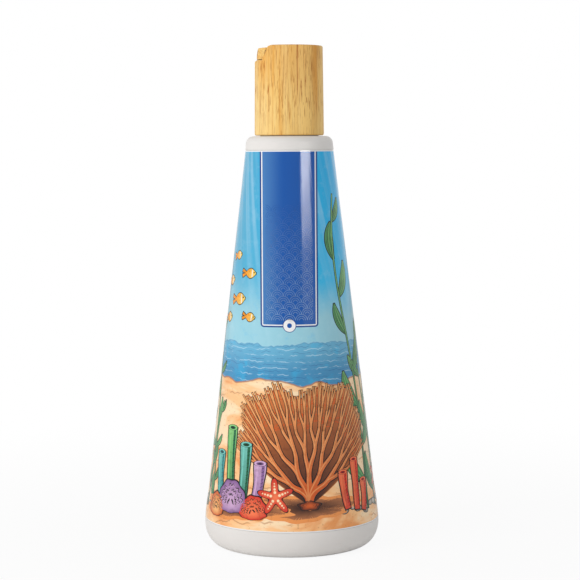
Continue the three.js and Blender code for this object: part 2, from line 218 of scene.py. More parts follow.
class StudioSettings(bpy.types.PropertyGroup):
    """Camera, floor and lamps."""
    camera_height: millimetres("Camera height", "Height of the lens", 189.3)
    camera_distance: millimetres("Camera distance", "Distance of the lens from the axis", 848.2)
    camera_aim: millimetres("Camera aim", "Height that the camera looks at", 120.52)
    camera_side: millimetres("Camera side", "Sideways place of the camera", -0.16)
    camera_roll: FloatProperty(
        name="Camera roll", description="Turn of the picture", default=-0.0065, subtype="ANGLE")
    lens: FloatProperty(
        name="Lens", description="Focal length on a 36 mm sensor", default=111.76, unit="CAMERA")
    room: FloatProperty(name="Room", description="Light from all sides", default=0.58, min=0)
    floor_lift: FloatProperty(
        name="Floor lift", description="How far the floor is lifted to white", default=0.9,
        min=0, max=1)


GROUPS = {
    "bottle_sizes": BottleSizes,
    "film_sizes": FilmSizes,
    "closure_sizes": ClosureSizes,
    "print_colours": PrintColours,
    "plastic_colours": PlasticColours,
    "studio_settings": StudioSettings,
}


def in_millimetres(group, *names):
    """Lengths of a property group, in millimetres."""
    return [getattr(group, name) / MM for name in names]


def steps_round(count):
    """Angles in equal steps all the way round."""
    return np.linspace(0, TURN, count, endpoint=False)


def aimed(angle):
    """Points (cos t, sin t) of a circle of radius 1."""
    return np.stack([np.cos(angle), np.sin(angle)], -1)


def rounded(points, radii, steps):
    """An outline of (r, z) points with arcs at its inner corners.

    At each corner with a radius, the arc touches both edges at radius * tan(turn / 2) from the
    corner, limited to half the shorter edge, and its points run round the arc's centre.
    """
    points = np.array(points, float)
    out = [points[:1]]
    for before, corner, after, radius in zip(points, points[1:], points[2:], radii):
        lengths = np.linalg.norm(corner - before), np.linalg.norm(after - corner)
        into, away = (corner - before) / lengths[0], (after - corner) / lengths[1]
        turn = math.atan2(into[0] * away[1] - into[1] * away[0], float(into @ away))
        if not radius or abs(turn) < STRAIGHT:
            out.append(corner[None])
            continue
        run = min(radius * math.tan(abs(turn) / 2), 0.5 * min(lengths))
        radius = run / math.tan(abs(turn) / 2)
        side = np.array([-into[1], into[0]]) * math.copysign(1, turn)
        centre = corner - into * run + side * radius
        angle = turn * np.linspace(0, 1, steps + 1)
        start = -side * radius
        out.append(centre + np.stack([
            start[0] * np.cos(angle) - start[1] * np.sin(angle),
            start[0] * np.sin(angle) + start[1] * np.cos(angle)], 1))
    out.append(points[-1:])
    return np.concatenate(out)


def ellipse(centre, radii, start, end, steps):
    """Points centre + radii * (cos t, sin t), for t from start to end in degrees."""
    t = np.radians(np.linspace(start, end, steps + 1))
    return np.array(centre) + np.array(radii) * aimed(t)


def round_axis(radius, angle, height):
    """Points (r cos t, r sin t, z) of a grid: rows of the section by columns of the angle."""
    radius, angle, height = np.broadcast_arrays(radius, angle, height)
    return np.stack([radius * np.cos(angle), radius * np.sin(angle), height], -1)


def quads(rows, columns, loop=False):
    """Corner numbers of a grid of closed rows; loop joins the last row to the first too."""
    row = np.arange(rows if loop else rows - 1)[:, None]
    column = np.arange(columns)[None]
    above, beside = (row + 1) % rows, (column + 1) % columns
    corners = [row * columns + column, row * columns + beside,
               above * columns + beside, above * columns + column]
    return np.stack(corners, -1).reshape(-1, 4)


def tube_faces(rows, columns, start=0):
    """Faces of a tube of closed rows with both ends filled; its corners count from start."""
    last = start + (rows - 1) * columns
    return [*(quads(rows, columns) + start).tolist(),
            list(range(start + columns - 1, start - 1, -1)), list(range(last, last + columns))]


def make_piece(name, points, faces, body, slot, finish, stands_for=(), sharp=35, merge=True):
    """A mesh piece in row coordinates that rides on a body; its doubles merge and it faces out."""
    mesh = bpy.data.meshes.new(name)
    mesh.from_pydata(np.asarray(points).reshape(-1, 3).tolist(), [], [list(f) for f in faces])
    work = bmesh.new()
    work.from_mesh(mesh)
    if merge:
        bmesh.ops.remove_doubles(work, verts=work.verts, dist=DOUBLES)
    bmesh.ops.recalc_face_normals(work, faces=work.faces)
    work.to_mesh(mesh)
    work.free()
    mesh.shade_smooth()
    mesh.set_sharp_from_angle(angle=math.radians(sharp))
    mesh.materials.append(finish)
    piece = bpy.data.objects.new(name, mesh)
    bpy.context.scene.collection.objects.link(piece)
    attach(piece, body)
    if stands_for:
        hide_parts(*stands_for)
    return piece


def bevel(piece, width, angle):
    """Rounds the piece's sharp edges with a live Bevel."""
    modifier = piece.modifiers.new("edge_round", "BEVEL")
    modifier.width = width
    modifier.segments = 2
    modifier.limit_method = "ANGLE"
    modifier.angle_limit = math.radians(angle)
    modifier.use_clamp_overlap = True
    modifier.harden_normals = True


def step(operation, reflected=False):
    """An operator of Signal: one step of arithmetic on it and another value."""
    def apply(self, other):
        values = (other, self) if reflected else (self, other)
        return self.nodes.maths(operation, *values)
    return apply


class Signal:
    """A value on its way through a node tree, so that shader maths reads as arithmetic."""

    def __init__(self, nodes, socket):
        self.nodes = nodes
        self.socket = socket

    __add__, __radd__ = step("ADD"), step("ADD", True)
    __sub__, __rsub__ = step("SUBTRACT"), step("SUBTRACT", True)
    __mul__, __rmul__ = step("MULTIPLY"), step("MULTIPLY", True)
    __truediv__, __rtruediv__ = step("DIVIDE"), step("DIVIDE", True)

    def __neg__(self):
        return -1.0 * self

    def __abs__(self):
        return self.nodes.maths("ABSOLUTE", self)


class Nodes:
    """A node tree and the ways to add to it."""

    def __init__(self, owner):
        owner.use_nodes = True
        self.tree = owner.node_tree

    def feed(self, socket, value):
        """Links a signal to a socket, or writes a number or colour on it."""
        if isinstance(value, Signal):
            self.tree.links.new(value.socket, socket)
        elif hasattr(value, "__len__") and socket.type == "RGBA":
            socket.default_value = (*tuple(value)[:3], 1.0)
        else:
            socket.default_value = value

    def node(self, kind, settings=None, inputs=None, output=0):
        """One node: its settings first, then the values or links of its sockets."""
        made = self.tree.nodes.new(kind)
        for key, value in (settings or {}).items():
            setattr(made, key, value)
        for key, value in (inputs or {}).items():
            self.feed(made.inputs[key], value)
        return Signal(self, made.outputs[output])

    def maths(self, operation, *values):
        """One step of arithmetic on values."""
        return self.node("ShaderNodeMath", {"operation": operation}, dict(enumerate(values)))

    def fade(self, value, start, end):
        """0 at start and 1 at end, with a smooth run between them."""
        return self.node("ShaderNodeMapRange", {"interpolation_type": "SMOOTHSTEP"},
                         {0: value, 1: start, 2: end})


class Paint(Nodes):
    """One material and the nodes that feed its shader."""

    def __init__(self, name, settings):
        self.material = bpy.data.materials.new(name)
        super().__init__(self.material)
        self.shader = self.tree.nodes["Principled BSDF"]
        for socket, value in settings.items():
            self.set(socket, value)
        self.place = self.node("ShaderNodeTexCoord", output="Object")

    def set(self, socket, value):
        """Feeds one of the shader's sockets."""
        self.feed(self.shader.inputs[socket], value)

    def axes(self):
        """The piece's own coordinates, in millimetres."""
        scaled = self.node("ShaderNodeVectorMath", {"operation": "SCALE"},
                           {0: self.place, "Scale": 1 / MM})
        split = self.node("ShaderNodeSeparateXYZ", None, {0: scaled})
        return [Signal(self, socket) for socket in split.socket.node.outputs]

    def blend(self, factor, first, second, mode="MIX"):
        """Two colours mixed by a factor."""
        settings = {"data_type": "RGBA", "blend_type": mode}
        return self.node("ShaderNodeMix", settings, {0: factor, 6: first, 7: second}, output=2)

    def coats(self, ground, *coats):
        """A colour with coats over it in order, each a share and a colour."""
        for share, coat in coats:
            ground = self.blend(share, ground, coat)
        return ground

    def shades(self, value, *stops):
        """A run of colours over a value from 0 to 1."""
        made = self.node("ShaderNodeValToRGB", None, {0: value})
        elements = made.socket.node.color_ramp.elements
        while len(elements) < len(stops):
            elements.new(0.5)
        for element, (place, shade) in zip(elements, stops):
            element.position = place
            element.color = (*tuple(shade)[:3], 1.0)
        return made

    def vector(self, *parts):
        """A vector put together from three values."""
        return self.node("ShaderNodeCombineXYZ", None, dict(enumerate(parts)))

    def stretched(self, scale, shift=(0, 0, 0)):
        """The piece's own coordinates scaled along their axes, then moved."""
        return self.node("ShaderNodeMapping", None, {
            "Vector": self.place, "Scale": scale, "Location": shift})

    def noise(self, vector, scale, detail, roughness=0.55, distortion=0.0):
        """Fractal noise from 0 to 1; scale is in cells a metre."""
        return self.node("ShaderNodeTexNoise", {"noise_dimensions": "3D"}, {
            "Vector": vector, "Scale": scale, "Detail": detail, "Roughness": roughness,
            "Distortion": distortion})

    def mottle(self, factor, colour, share):
        """Base colour between a colour's darker share and the colour."""
        darker = tuple(share * part for part in colour)
        self.set("Base Color", self.blend(factor, darker, colour))

    def bump(self, height, depth, strength):
        """A height from 0 to 1, as deep as depth in millimetres, on the shader's normal."""
        self.set("Normal", self.node("ShaderNodeBump", None, {
            "Height": height, "Distance": depth * MM, "Strength": strength}, output="Normal"))

    def gloss(self):
        """Glossy film: a little unevenness in its roughness, and soft waves."""
        self.set("Roughness", 0.07 + 0.05 * self.noise(self.place, 1500, 2, 0.6))
        self.bump(self.noise(self.place, 70, 2, 0.5), 0.05, 0.4)


def material(name, make):
    """The material of this name, made at its first use."""
    return bpy.data.materials.get(name) or make()


def body_radius(sizes, height):
    """The bottle's radius at a height.

    Above the cone's foot it is the cone. Between the widest line and the cone's foot it is the
    cubic w + (c - w) t^2 (3 - 2 t) + t^2 (t - 1) s h, where w and c are the radii at its ends, s
    is the cone's slope and h the height of the stretch, so that it runs out into the cone.
    """
    slope = ((sizes.shoulder_radius - sizes.cone_foot_radius)
             / (sizes.shoulder_height - sizes.cone_foot_height))
    span = sizes.cone_foot_height - sizes.wide_height
    t = np.clip((height - sizes.wide_height) / span, 0, 1)
    curve = (sizes.wide_radius + (sizes.cone_foot_radius - sizes.wide_radius) * t * t * (3 - 2 * t)
             + t * t * (t - 1) * slope * span)
    cone = sizes.cone_foot_radius + slope * (height - sizes.cone_foot_height)
    return np.where(height < sizes.cone_foot_height, curve, cone)


def wall_line(sizes, start, end, depth, steps=36):
    """Points of the body's wall between two heights, set in by a depth."""
    low = np.linspace(start, sizes.cone_foot_height, steps)
    high = np.linspace(sizes.cone_foot_height, end, CONE_STEPS)[1:]
    height = np.concatenate([low, high])
    return np.stack([body_radius(sizes, height) - depth, height], 1)


def white_plastic():
    """Satin blow-moulded plastic: a faint mottle, a soft skin and the mould's parting line."""
    paint = Paint("blown_plastic", {"Specular IOR Level": 0.35, "IOR": 1.5})
    paint.mottle(paint.noise(paint.place, 60, 2), bpy.context.scene.plastic_colours.bottle, 0.955)
    skin = paint.noise(paint.place, 1400, 2, 0.6)
    paint.set("Roughness", 0.40 + 0.10 * skin)
    parting = 1 - paint.fade(abs(paint.axes()[1]), 0.05, 0.22)
    swell = paint.noise(paint.place, 45, 1)
    paint.bump(0.25 * skin + 0.6 * swell + 0.35 * parting, 0.06, 0.5)
    return paint.material


def inner_moulding():
    """Natural white moulding of the inner cap, with a fine matt grain."""
    paint = Paint("inner_moulding", {"IOR": 1.5})
    grain = paint.noise(paint.place, 2600, 2)
    paint.mottle(grain, bpy.context.scene.plastic_colours.inner, 0.93)
    paint.set("Roughness", 0.4 + 0.16 * grain)
    paint.bump(grain, 0.02, 0.5)
    return paint.material


def foam_sheet():
    """Closed-cell foam: small round cells in a pale sheet."""
    paint = Paint("foam_sheet", {"Roughness": 0.85, "IOR": 1.45})
    cells = paint.node("ShaderNodeTexVoronoi", {"feature": "F1"}, {
        "Vector": paint.place, "Scale": 3200.0}, output="Distance")
    paint.mottle(paint.fade(cells, 0.1, 0.7), bpy.context.scene.plastic_colours.foam, 0.86)
    paint.bump(paint.fade(cells, 0.0, 0.6), 0.05, 0.6)
    return paint.material


def wood_print(name, along):
    """Wood grain printed on plastic: streaks drawn out along one axis, bands, lines and pores."""
    colours = bpy.context.scene.plastic_colours
    paint = Paint(name, {"Specular IOR Level": 0.2, "IOR": 1.5})
    x, y, z = paint.axes()

    def grain(share, shift, *look):
        """Noise drawn out to 1 / share along the grain's axis."""
        stretch = tuple(share if axis == along else 1.0 for axis in "XYZ")
        return paint.noise(paint.stretched(stretch, shift), *look)

    bands = grain(0.05, (0, 0, 0), 170, 2, 0.5, 0.3)
    streaks = grain(0.035, (3.1, 0.7, 1.9), 620, 3, 0.65)
    fine = grain(0.05, (0.4, 5.2, 2.2), 1500, 3, 0.7)
    pores = grain(0.09, (7.7, 1.4, 0.3), 2100, 1, 0.5)
    wood = paint.coats(
        paint.shades(bands, (0.30, colours.wood_pale), (0.46, colours.wood), (0.62, colours.wood),
                     (0.78, colours.wood_warm)),
        (0.55 * paint.fade(streaks, 0.50, 0.66), colours.wood_warm),
        (0.40 * paint.fade(streaks, 0.48, 0.32), colours.wood_pale))
    if along == "Z":
        angle = paint.maths("ARCTAN2", x, -y)
        sway = 0.10 * (paint.noise(paint.stretched((1, 1, 0.5)), 90, 1) - 0.5)
        for middle, reach, share, tone, low, high in (
            (1.35, 0.50, 0.55, colours.wood_glow, 190, 193),
            (-0.85, 0.40, 0.40, colours.wood_warm, 210, 228),
            (-0.90, 0.70, 0.60, colours.wood_pale, 226, 204),
            (0.48, 0.36, 0.90, colours.wood_glow, 190, 193),
            (0.86, 0.17, 0.80, colours.wood_warm, 192, 222),
            (0.05, 2.20, 0.35, colours.wood_warm, 204, 232),
        ):
            zone = 1 - paint.fade(abs(angle + 1.4 * sway - middle), 0.04, reach)
            wood = paint.blend(share * zone * paint.fade(z, low, high), wood, tone)
        line = 1 - paint.fade(abs(angle + sway - 0.25), 0.0, 0.032)
        wood = paint.blend(0.75 * line * paint.fade(z, 207, 217), wood, colours.wood_line)
    depth = 0.45 + 0.55 * paint.fade(z, 193, 214)
    dashes = paint.fade(pores, 0.60, 0.68) * paint.fade(streaks, 0.38, 0.54)
    paint.set("Base Color", paint.coats(
        wood, (0.55 * depth * paint.fade(fine, 0.49, 0.65), colours.wood_line),
        (0.80 * depth * dashes, colours.wood_line)))
    paint.set("Roughness", 0.46 + 0.16 * streaks)
    paint.bump(fine, 0.02, 0.3)
    return paint.material


def far_water(paint, angle, z, blot, top, reef):
    """Water that pales downwards, with slanting light, over a hazy far reef with small waves."""
    inks = bpy.context.scene.print_colours
    wash = paint.noise(paint.place, 55, 4, 0.6, 0.4)
    depth = (z - reef + 10 * (wash - 0.5)) / (top - reef)
    leftward = 0.5 - 0.5 * paint.maths("SINE", angle + 0.35)
    beams = paint.noise(paint.vector(7.0 * angle + 0.055 * z, 0.0, 0.004 * z), 1.0, 2, 0.5)
    water = paint.coats(
        paint.shades(depth - 0.09 * leftward,
                     (0.12, inks.water_low), (0.32, inks.water_middle), (0.9, inks.water_high)),
        (0.72 * leftward * paint.fade(depth, 0.08, 0.42), inks.water_side),
        (0.30 * paint.fade(beams, 0.46, 0.72) * (0.25 + 0.75 * paint.fade(z, reef + 6, top)),
         inks.ray),
        (0.22 * paint.fade(blot, 0.54, 0.72), inks.water_high),
        (0.10 * paint.fade(blot, 0.48, 0.30), inks.ray))

    ridge = paint.noise(paint.vector(3.2 * angle, 0.0, 2.5), 1.0, 3, 0.55)
    crest = z - (reef - 5 + 8 * ridge)
    waves = paint.noise(paint.vector(7.0 * angle, 0.0, 0.06 * z), 1.0, 3)
    swell = paint.maths("SINE", 2.2 * z + 9.0 * waves)
    gaps = paint.fade(paint.noise(paint.stretched((1, 1, 4)), 130, 2), 0.44, 0.56)
    haze = paint.coats(
        inks.reef_edge, (paint.fade(crest, -15, 0), inks.reef),
        (0.35 * paint.fade(blot, 0.5, 0.66), inks.water_middle),
        (0.45 * paint.fade(swell, 0.80, 0.97) * gaps, inks.ray),
        (0.5 * paint.fade(swell, -0.93, -0.99) * (1 - gaps), inks.banner_edge))
    return paint.coats(water, (paint.fade(crest, 0.5, -0.5), haze),
                       (0.6 * (1 - paint.fade(abs(crest), 0.1, 0.42)), inks.reef_edge))


def sand_bed(paint, angle, z):
    """Sand with pale and warm patches, drawn ripples that break off, and grains."""
    inks = bpy.context.scene.print_colours
    patches = paint.noise(paint.stretched((1, 1, 2.4), (0.9, 0.2, 0.4)), 34, 4, 0.6, 0.6)
    waves = paint.noise(paint.vector(2.2 * angle, 0.0, 0.012 * z), 1.0, 3, 0.5)
    ripple = paint.maths("SINE", 0.85 * z + 14.0 * waves)
    broken = paint.fade(paint.noise(paint.place, 95, 2), 0.46, 0.58)
    return paint.coats(
        inks.sand_pale, (paint.fade(patches, 0.42, 0.56), inks.sand),
        (0.85 * paint.fade(patches, 0.54, 0.70), inks.sand_warm),
        (0.55 * paint.fade(ripple, 0.93, 0.995) * broken, inks.sand_ink),
        (0.35 * paint.fade(paint.noise(paint.place, 900, 1), 0.66, 0.72), inks.sand_ink))


def dark_panel(paint, x, y, z, sizes):
    """The dark panel's share of the film, and its colour with the border and the white line.

    The distance in from its edge is the smaller of half the width less |x| and the height over
    its foot; in the two lower corners it is the corner's radius less the distance from its centre.
    """
    inks = bpy.context.scene.print_colours
    corner, half, side, foot, border, line = in_millimetres(
        sizes, "banner_corner", "banner_half_width", "banner_side", "banner_foot",
        "keyline_inset", "keyline_width")
    across = abs(x - side)
    aside = paint.maths("MAXIMUM", across - (half - corner), 0.0)
    below = paint.maths("MAXIMUM", (foot + corner) - z, 0.0)
    inset = corner - paint.maths("SQRT", aside * aside + below * below)
    near = paint.maths("MINIMUM", half - across, z - foot)
    inset = paint.maths("MINIMUM", inset + 50 * paint.fade(near, corner, corner + 0.01), near)
    keyline = (paint.fade(inset, border - BLUR, border + BLUR)
               * paint.fade(inset, border + line + BLUR, border + line - BLUR))
    banner = paint.coats(
        inks.banner, (0.7 * paint.fade(x, -2, -14), inks.banner_pale),
        (paint.fade(inset, border + 0.3, border), inks.banner_edge), (keyline, inks.white))
    return paint.fade(y, 0.1, -0.1) * paint.fade(inset, -BLUR, BLUR), banner


def film_print():
    """Glossy film: a reef under blue water, the dark panel with its white line, and bare edges."""
    scene = bpy.context.scene
    sizes, inks = scene.film_sizes, scene.print_colours
    top, bottom, reef, bed, edge = in_millimetres(
        sizes, "top", "bottom", "reef_height", "sand_height", "margin")
    paint = Paint("film_print", {"Specular IOR Level": 0.3, "IOR": 1.5})
    x, y, z = paint.axes()
    angle = paint.maths("ARCTAN2", x, -y)
    blot = paint.noise(paint.stretched((1, 1, 1), (0.3, 0.1, 0.7)), 150, 4, 0.65)
    hollow = paint.noise(paint.vector(2.4 * angle, 0.0, 7.3), 1.0, 2, 0.5)
    shore = z - (bed - 5 + 10 * hollow + 1.2 * blot)
    bare = (paint.fade(z, bottom + edge + 0.1, bottom + edge)
            + paint.fade(z, top - edge - 0.1, top - edge))
    paint.set("Base Color", paint.coats(
        far_water(paint, angle, z, blot, top, reef),
        (paint.fade(shore, 0.3, -0.3), sand_bed(paint, angle, z)),
        (0.75 * (1 - paint.fade(abs(shore), 0.15, 0.6)), inks.sand_ink),
        dark_panel(paint, x, y, z, sizes),
        (bare, inks.white)))
    paint.gloss()
    return paint.material


def ink_print():
    """Printed colours of a drawing: its own ink attribute, with the uneven tone of watercolour."""
    paint = Paint("printed_ink", {"Specular IOR Level": 0.3, "IOR": 1.5})
    ink = paint.node("ShaderNodeAttribute", {"attribute_name": "ink"}, output="Color")
    wash = paint.noise(paint.place, 260, 4, 0.65, 0.5)
    paint.set("Base Color", paint.blend(
        0.40 * paint.fade(wash, 0.50, 0.66), ink, (0.5, 0.42, 0.4), "MULTIPLY"))
    paint.gloss()
    return paint.material


def toned(first, second, share):
    """A row of colours from the first to the second."""
    share = np.asarray(share, float)[:, None]
    return np.array(first)[None] * (1 - share) + np.array(second)[None] * share


def curve_from(start, heading, length, bend, steps):
    """A path that turns evenly: start + the sum of (cos h, sin h), h = heading + bend t."""
    h = heading + bend * np.linspace(0, 1, steps)
    walk = aimed(h)[:-1] * length / (steps - 1)
    return np.asarray(start, float) + np.concatenate([[[0.0, 0.0]], np.cumsum(walk, 0)])


class Drawing:
    """Flat shapes in millimetres round one point of the film, laid on it as thin closed layers."""

    def __init__(self, angle, height, over=0):
        scene = bpy.context.scene
        self.colours, self.film, self.bottle = (
            scene.print_colours, scene.film_sizes, scene.bottle_sizes)
        self.line = self.film.ink_line / MM
        self.angle, self.height, self.over = math.radians(angle), height, over
        self.points, self.faces, self.inks = [], [], []
        self.count = 0

    def add(self, grid, lift, ink):
        """Keeps a tube of (across, up) points, with a layer and a colour for each."""
        rows, columns = grid.shape[:2]
        self.faces.extend(tube_faces(rows, columns, self.count))
        self.points.append(np.column_stack([grid.reshape(-1, 2), lift]))
        self.inks.append(ink)
        self.count += rows * columns

    def stroke(self, path, width, ink, layer, across=1):
        """A brush stroke: path + side * width * s, s from -1/2 to 1/2, with a skirt below it."""
        path = np.asarray(path, float)
        run = np.gradient(path, axis=0)
        run /= np.linalg.norm(run, axis=1, keepdims=True) + TINY
        side = np.stack([-run[:, 1], run[:, 0]], 1)
        share = np.linspace(-0.5, 0.5, across + 1)
        width = np.broadcast_to(width, len(path))
        top = path[:, None] + side[:, None] * (share[None, :, None] * width[:, None, None])
        grid = np.concatenate([top, top[:, ::-1]], 1)
        lift = np.tile(np.repeat([layer, FOOT_LAYER], across + 1), len(path))
        tints = np.broadcast_to(ink, (len(path), 3))
        self.add(grid, lift, np.repeat(tints, grid.shape[1], 0))

    def patch(self, centre, outline, inner, outer, layer, rings):
        """A filled shape: centre + outline * s, s from a small core to 1, and back below it."""
        outline = np.asarray(outline, float)
        below = max(2, rings // 3)
        share = np.concatenate([np.linspace(CORE, 1, rings), np.linspace(1, CORE, below)])
        grid = np.asarray(centre, float) + outline[None] * share[:, None, None]
        lift = np.repeat([layer] * rings + [FOOT_LAYER] * below, len(outline))
        weight = np.repeat(share, len(outline))[:, None] ** 1.5
        self.add(grid, lift, np.array(inner) * (1 - weight) + np.array(outer) * weight)

    def inked_patch(self, centre, outline, rim, inner, outer, layer, rings, rise=1):
        """A filled shape over its larger rim of ink."""
        ink = self.colours.ink
        self.patch(centre, rim, ink, ink, layer, rings)
        self.patch(centre, outline, inner, outer, layer + rise, rings)

    def inked_stroke(self, path, width, tone, layer, across, share=1.0):
        """A coloured stroke with a drawn outline: a dark one lies under it, wider and longer."""
        line = share * self.line
        ends = np.array([path[0] - path[1], path[-1] - path[-2]])
        ends *= line / (np.linalg.norm(ends, axis=1, keepdims=True) + TINY)
        long = np.concatenate([path[:1] + ends[:1], path[1:-1], path[-1:] + ends[1:]])
        self.stroke(long, width + 2 * line, self.colours.ink, layer, across)
        self.stroke(path, width, tone, layer + 1, across)

    def lay(self, name):
        """Lays the drawing on the film: its angle is across / radius, its height up the cone."""
        film = self.film
        across, up, layer = np.concatenate(self.points).T
        low, high = film.bottom + film.margin, film.top - film.margin
        height = np.clip(self.height * MM + up * MM, low, high)
        radius = body_radius(self.bottle, height) - film.sink
        layer = np.where(layer > FOOT_LAYER, layer + self.over, layer)
        reach = radius + film.ink_base + layer * film.ink_lift
        points = round_axis(reach, self.angle + across * MM / radius + FRONT, height)
        piece = make_piece("print_" + name, points, self.faces, "bottle", "printed_film",
                           material("printed_ink", ink_print), merge=False)
        ink = piece.data.attributes.new("ink", "FLOAT_COLOR", "POINT")
        shades = np.column_stack([np.concatenate(self.inks), np.ones(self.count)])
        ink.data.foreach_set("color", shades.astype(np.float32).ravel())


def draw(name, place, *motifs):
    """One drawing at a place of the film, made of motifs: each a function and what it takes."""
    art = Drawing(*place)
    for motif, *values in motifs:
        motif(art, *values)
    art.lay(name)


def sea_fan(art, base, size, seed, spread, forks):
    """A sea fan in polar form: each branch forks in two, and so does its share of the angle.

    A branch runs from its parent's end (r0, a0) to its own (r1, a1) with r = r0 + (r1 - r0) s and
    a = a0 + (a1 - a0) s^2 (3 - 2 s). Short threads tie each branch of the last two kinds to the
    next, and a wash that is dark at the foot lies behind them all.
    """
    inks, line = art.colours, art.line
    chance = np.random.default_rng(seed)
    base = np.array(base, float)
    span = math.radians(spread)
    ribs = 5

    def edge(aside):
        """Reach of the fan at an angle: a flat arch with two waves."""
        return size * (0.90 - 0.17 * (aside / span) ** 2 + 0.05 * np.sin(7 * aside + seed)
                       + 0.03 * np.sin(19 * aside))

    def at(radius, aside):
        """The point base + r (sin a, cos a)."""
        return base + np.stack([radius * np.sin(aside), radius * np.cos(aside)], -1)

    rim = 1.05 * span
    turn = np.append(np.linspace(-rim, rim, 190), np.linspace(rim, TURN - rim, 26)[1:-1])
    inside = np.clip((1.04 * span - np.abs(turn)) / (0.10 * span), 0, 1)
    root = 0.035 * size
    shape = at(root + (0.95 * edge(np.clip(turn, -span, span)) - root) * inside, turn) - base
    art.inked_patch(base, shape, shape * (1 + line / size), inks.coral_shade, inks.coral_wash,
                    0, 44)

    stops = np.linspace(0.02, 1, forks + 2) ** 0.9
    ends = (np.full(ribs, 0.02 * size), np.linspace(-0.5, 0.5, ribs) * 0.3)
    s = np.linspace(0, 1, 12)
    ease = s * s * (3 - 2 * s)
    for generation in range(forks + 1):
        count = ribs * 2 ** generation
        jitter = chance.uniform(-0.22, 0.22, count)
        aside = span * (2 * (np.arange(count) + 0.5 + jitter) / count - 1)
        reach = edge(aside) * stops[generation + 1] * (1 + chance.uniform(-0.03, 0.03, count))
        parent = np.arange(count) // (2 if generation else 1)
        start, lean = ends[0][parent], ends[1][parent]
        radii = start[:, None] + (reach - start)[:, None] * s
        angles = lean[:, None] + (aside - lean)[:, None] * ease
        girth = 0.050 * size * 0.70 ** generation * np.linspace(1, 0.72, len(s))
        for radius, angle in zip(radii, angles):
            branch = at(radius, angle)
            tone = toned(inks.coral, inks.coral_light, np.clip(radius / size - 0.12, 0, 0.75))
            art.inked_stroke(branch, girth, tone, 3 + 0.3 * generation, 2, 1 - 0.14 * generation)
            if generation < 3:
                art.stroke(branch - (0.2 * girth[0], 0), 0.22 * girth,
                           toned(inks.coral, inks.coral_light, 0.3 + radius / size), 5.6)
        for left in range(count - 1 if generation > forks - 2 else 0):
            right = left + 1
            for place in chance.uniform(0.12, 0.95, 4):
                low = np.interp(place, s, radii[left])
                high = np.clip(low + chance.uniform(-0.02, 0.03) * size,
                               radii[right][0], radii[right][-1])
                bridge = np.linspace(np.interp(low, radii[left], angles[left]),
                                     np.interp(high, radii[right], angles[right]), 5)
                art.stroke(at(np.linspace(low, high, 5), bridge), 0.9 * line, inks.coral, 2.4)
        ends = (reach, aside)
    turn = steps_round(40)
    foot = 0.055 * size * (1 + 0.12 * np.sin(5 * turn))[:, None] * aimed(turn) * (1.5, 0.6)
    art.inked_patch(base, foot, foot * (1 + 10 * line / size), inks.coral, inks.coral_shade,
                    5.7, 5, 0.2)


def cast_shade(art, centre, width, height, seed):
    """Shade on the sand: two ellipses dented by sines, the inner one dark."""
    inks = art.colours
    turn = steps_round(120)
    dent = (1 + 0.10 * np.sin(3 * turn + seed) + 0.06 * np.sin(8 * turn + 2 * seed)
            + 0.04 * np.sin(17 * turn))
    shape = dent[:, None] * aimed(turn) * (0.5 * width, 0.5 * height)
    art.patch(centre, shape * (1.18, 1.35), inks.sand_warm, inks.sand_warm, -0.8, 26)
    art.patch(centre, shape, inks.coral_shade, inks.sand_ink, -0.4, 26)


def kelp(art, foot, height, sway, leaf, seed):
    """Weed: a stem that sways as a sine, with leaves of width sin(pi t) on alternate sides."""
    inks = art.colours
    chance = np.random.default_rng(seed)
    t = np.linspace(0, 1, 60)
    stem = np.array((foot, 0)) + np.stack(
        [sway * np.sin(1.6 * math.pi * t + seed) * t, height * t], 1)
    art.inked_stroke(stem, 1.3 - 0.8 * t, toned(inks.kelp, inks.kelp_light, t), 3, 2, 0.7)
    s = np.linspace(0, 1, 14)
    for number, spot in enumerate(np.arange(0.1, 0.97, 0.9 * leaf / height)):
        side = 1 if number % 2 else -1
        reach = leaf * (1.25 - 0.55 * spot) * (0.85 + 0.3 * chance.random())
        heading = math.pi / 2 - side * (0.85 + 0.25 * chance.standard_normal())
        path = curve_from(stem[int(spot * 59)], heading, reach,
                          side * (0.7 + 0.3 * chance.random()), 14)
        girth = 0.30 * reach * np.sin(math.pi * (0.04 + 0.94 * s)) ** 0.8
        tone = toned(inks.kelp, inks.kelp_light, 0.25 + 0.6 * s * chance.random())
        art.inked_stroke(path, girth, tone, 1 + 0.4 * (number % 2), 4, 0.8)
        run = np.gradient(path, axis=0)
        normal = np.stack([-run[:, 1], run[:, 0]], 1) / np.linalg.norm(run, axis=1, keepdims=True)
        vein = 0.04 * reach ** 0.5 * np.sin(math.pi * s[1:-1]) + 0.05
        for share, ink in ((-0.32, inks.kelp_light), (-0.14, inks.kelp), (0.02, inks.kelp_light),
                           (0.16, inks.ink), (0.32, inks.kelp)):
            art.stroke((path + normal * (share * girth)[:, None])[1:-1], vein, ink, 3)


def starfish(art, reach, spin):
    """Five arms: the outline is reach * (0.36 + 0.64 * |cos(2.5 t)|^3), with rows of dots."""
    inks = art.colours
    turn = steps_round(100)
    size = reach * (0.36 + 0.64 * np.abs(np.cos(2.5 * turn)) ** 3)
    aim = aimed(turn + spin)
    art.inked_patch((0, 0), aim * size[:, None], aim * (size + art.line)[:, None],
                    inks.star_light, inks.star, 4, 5)
    dot = aimed(turn[::10])
    for number in range(5):
        for share in (0.25, 0.42, 0.58, 0.72):
            place = reach * share * aimed(spin + number * TURN / 5)
            art.patch(place, 0.075 * reach * (1.25 - share) * dot, inks.sand_pale,
                      inks.sand_pale, 7, 2)


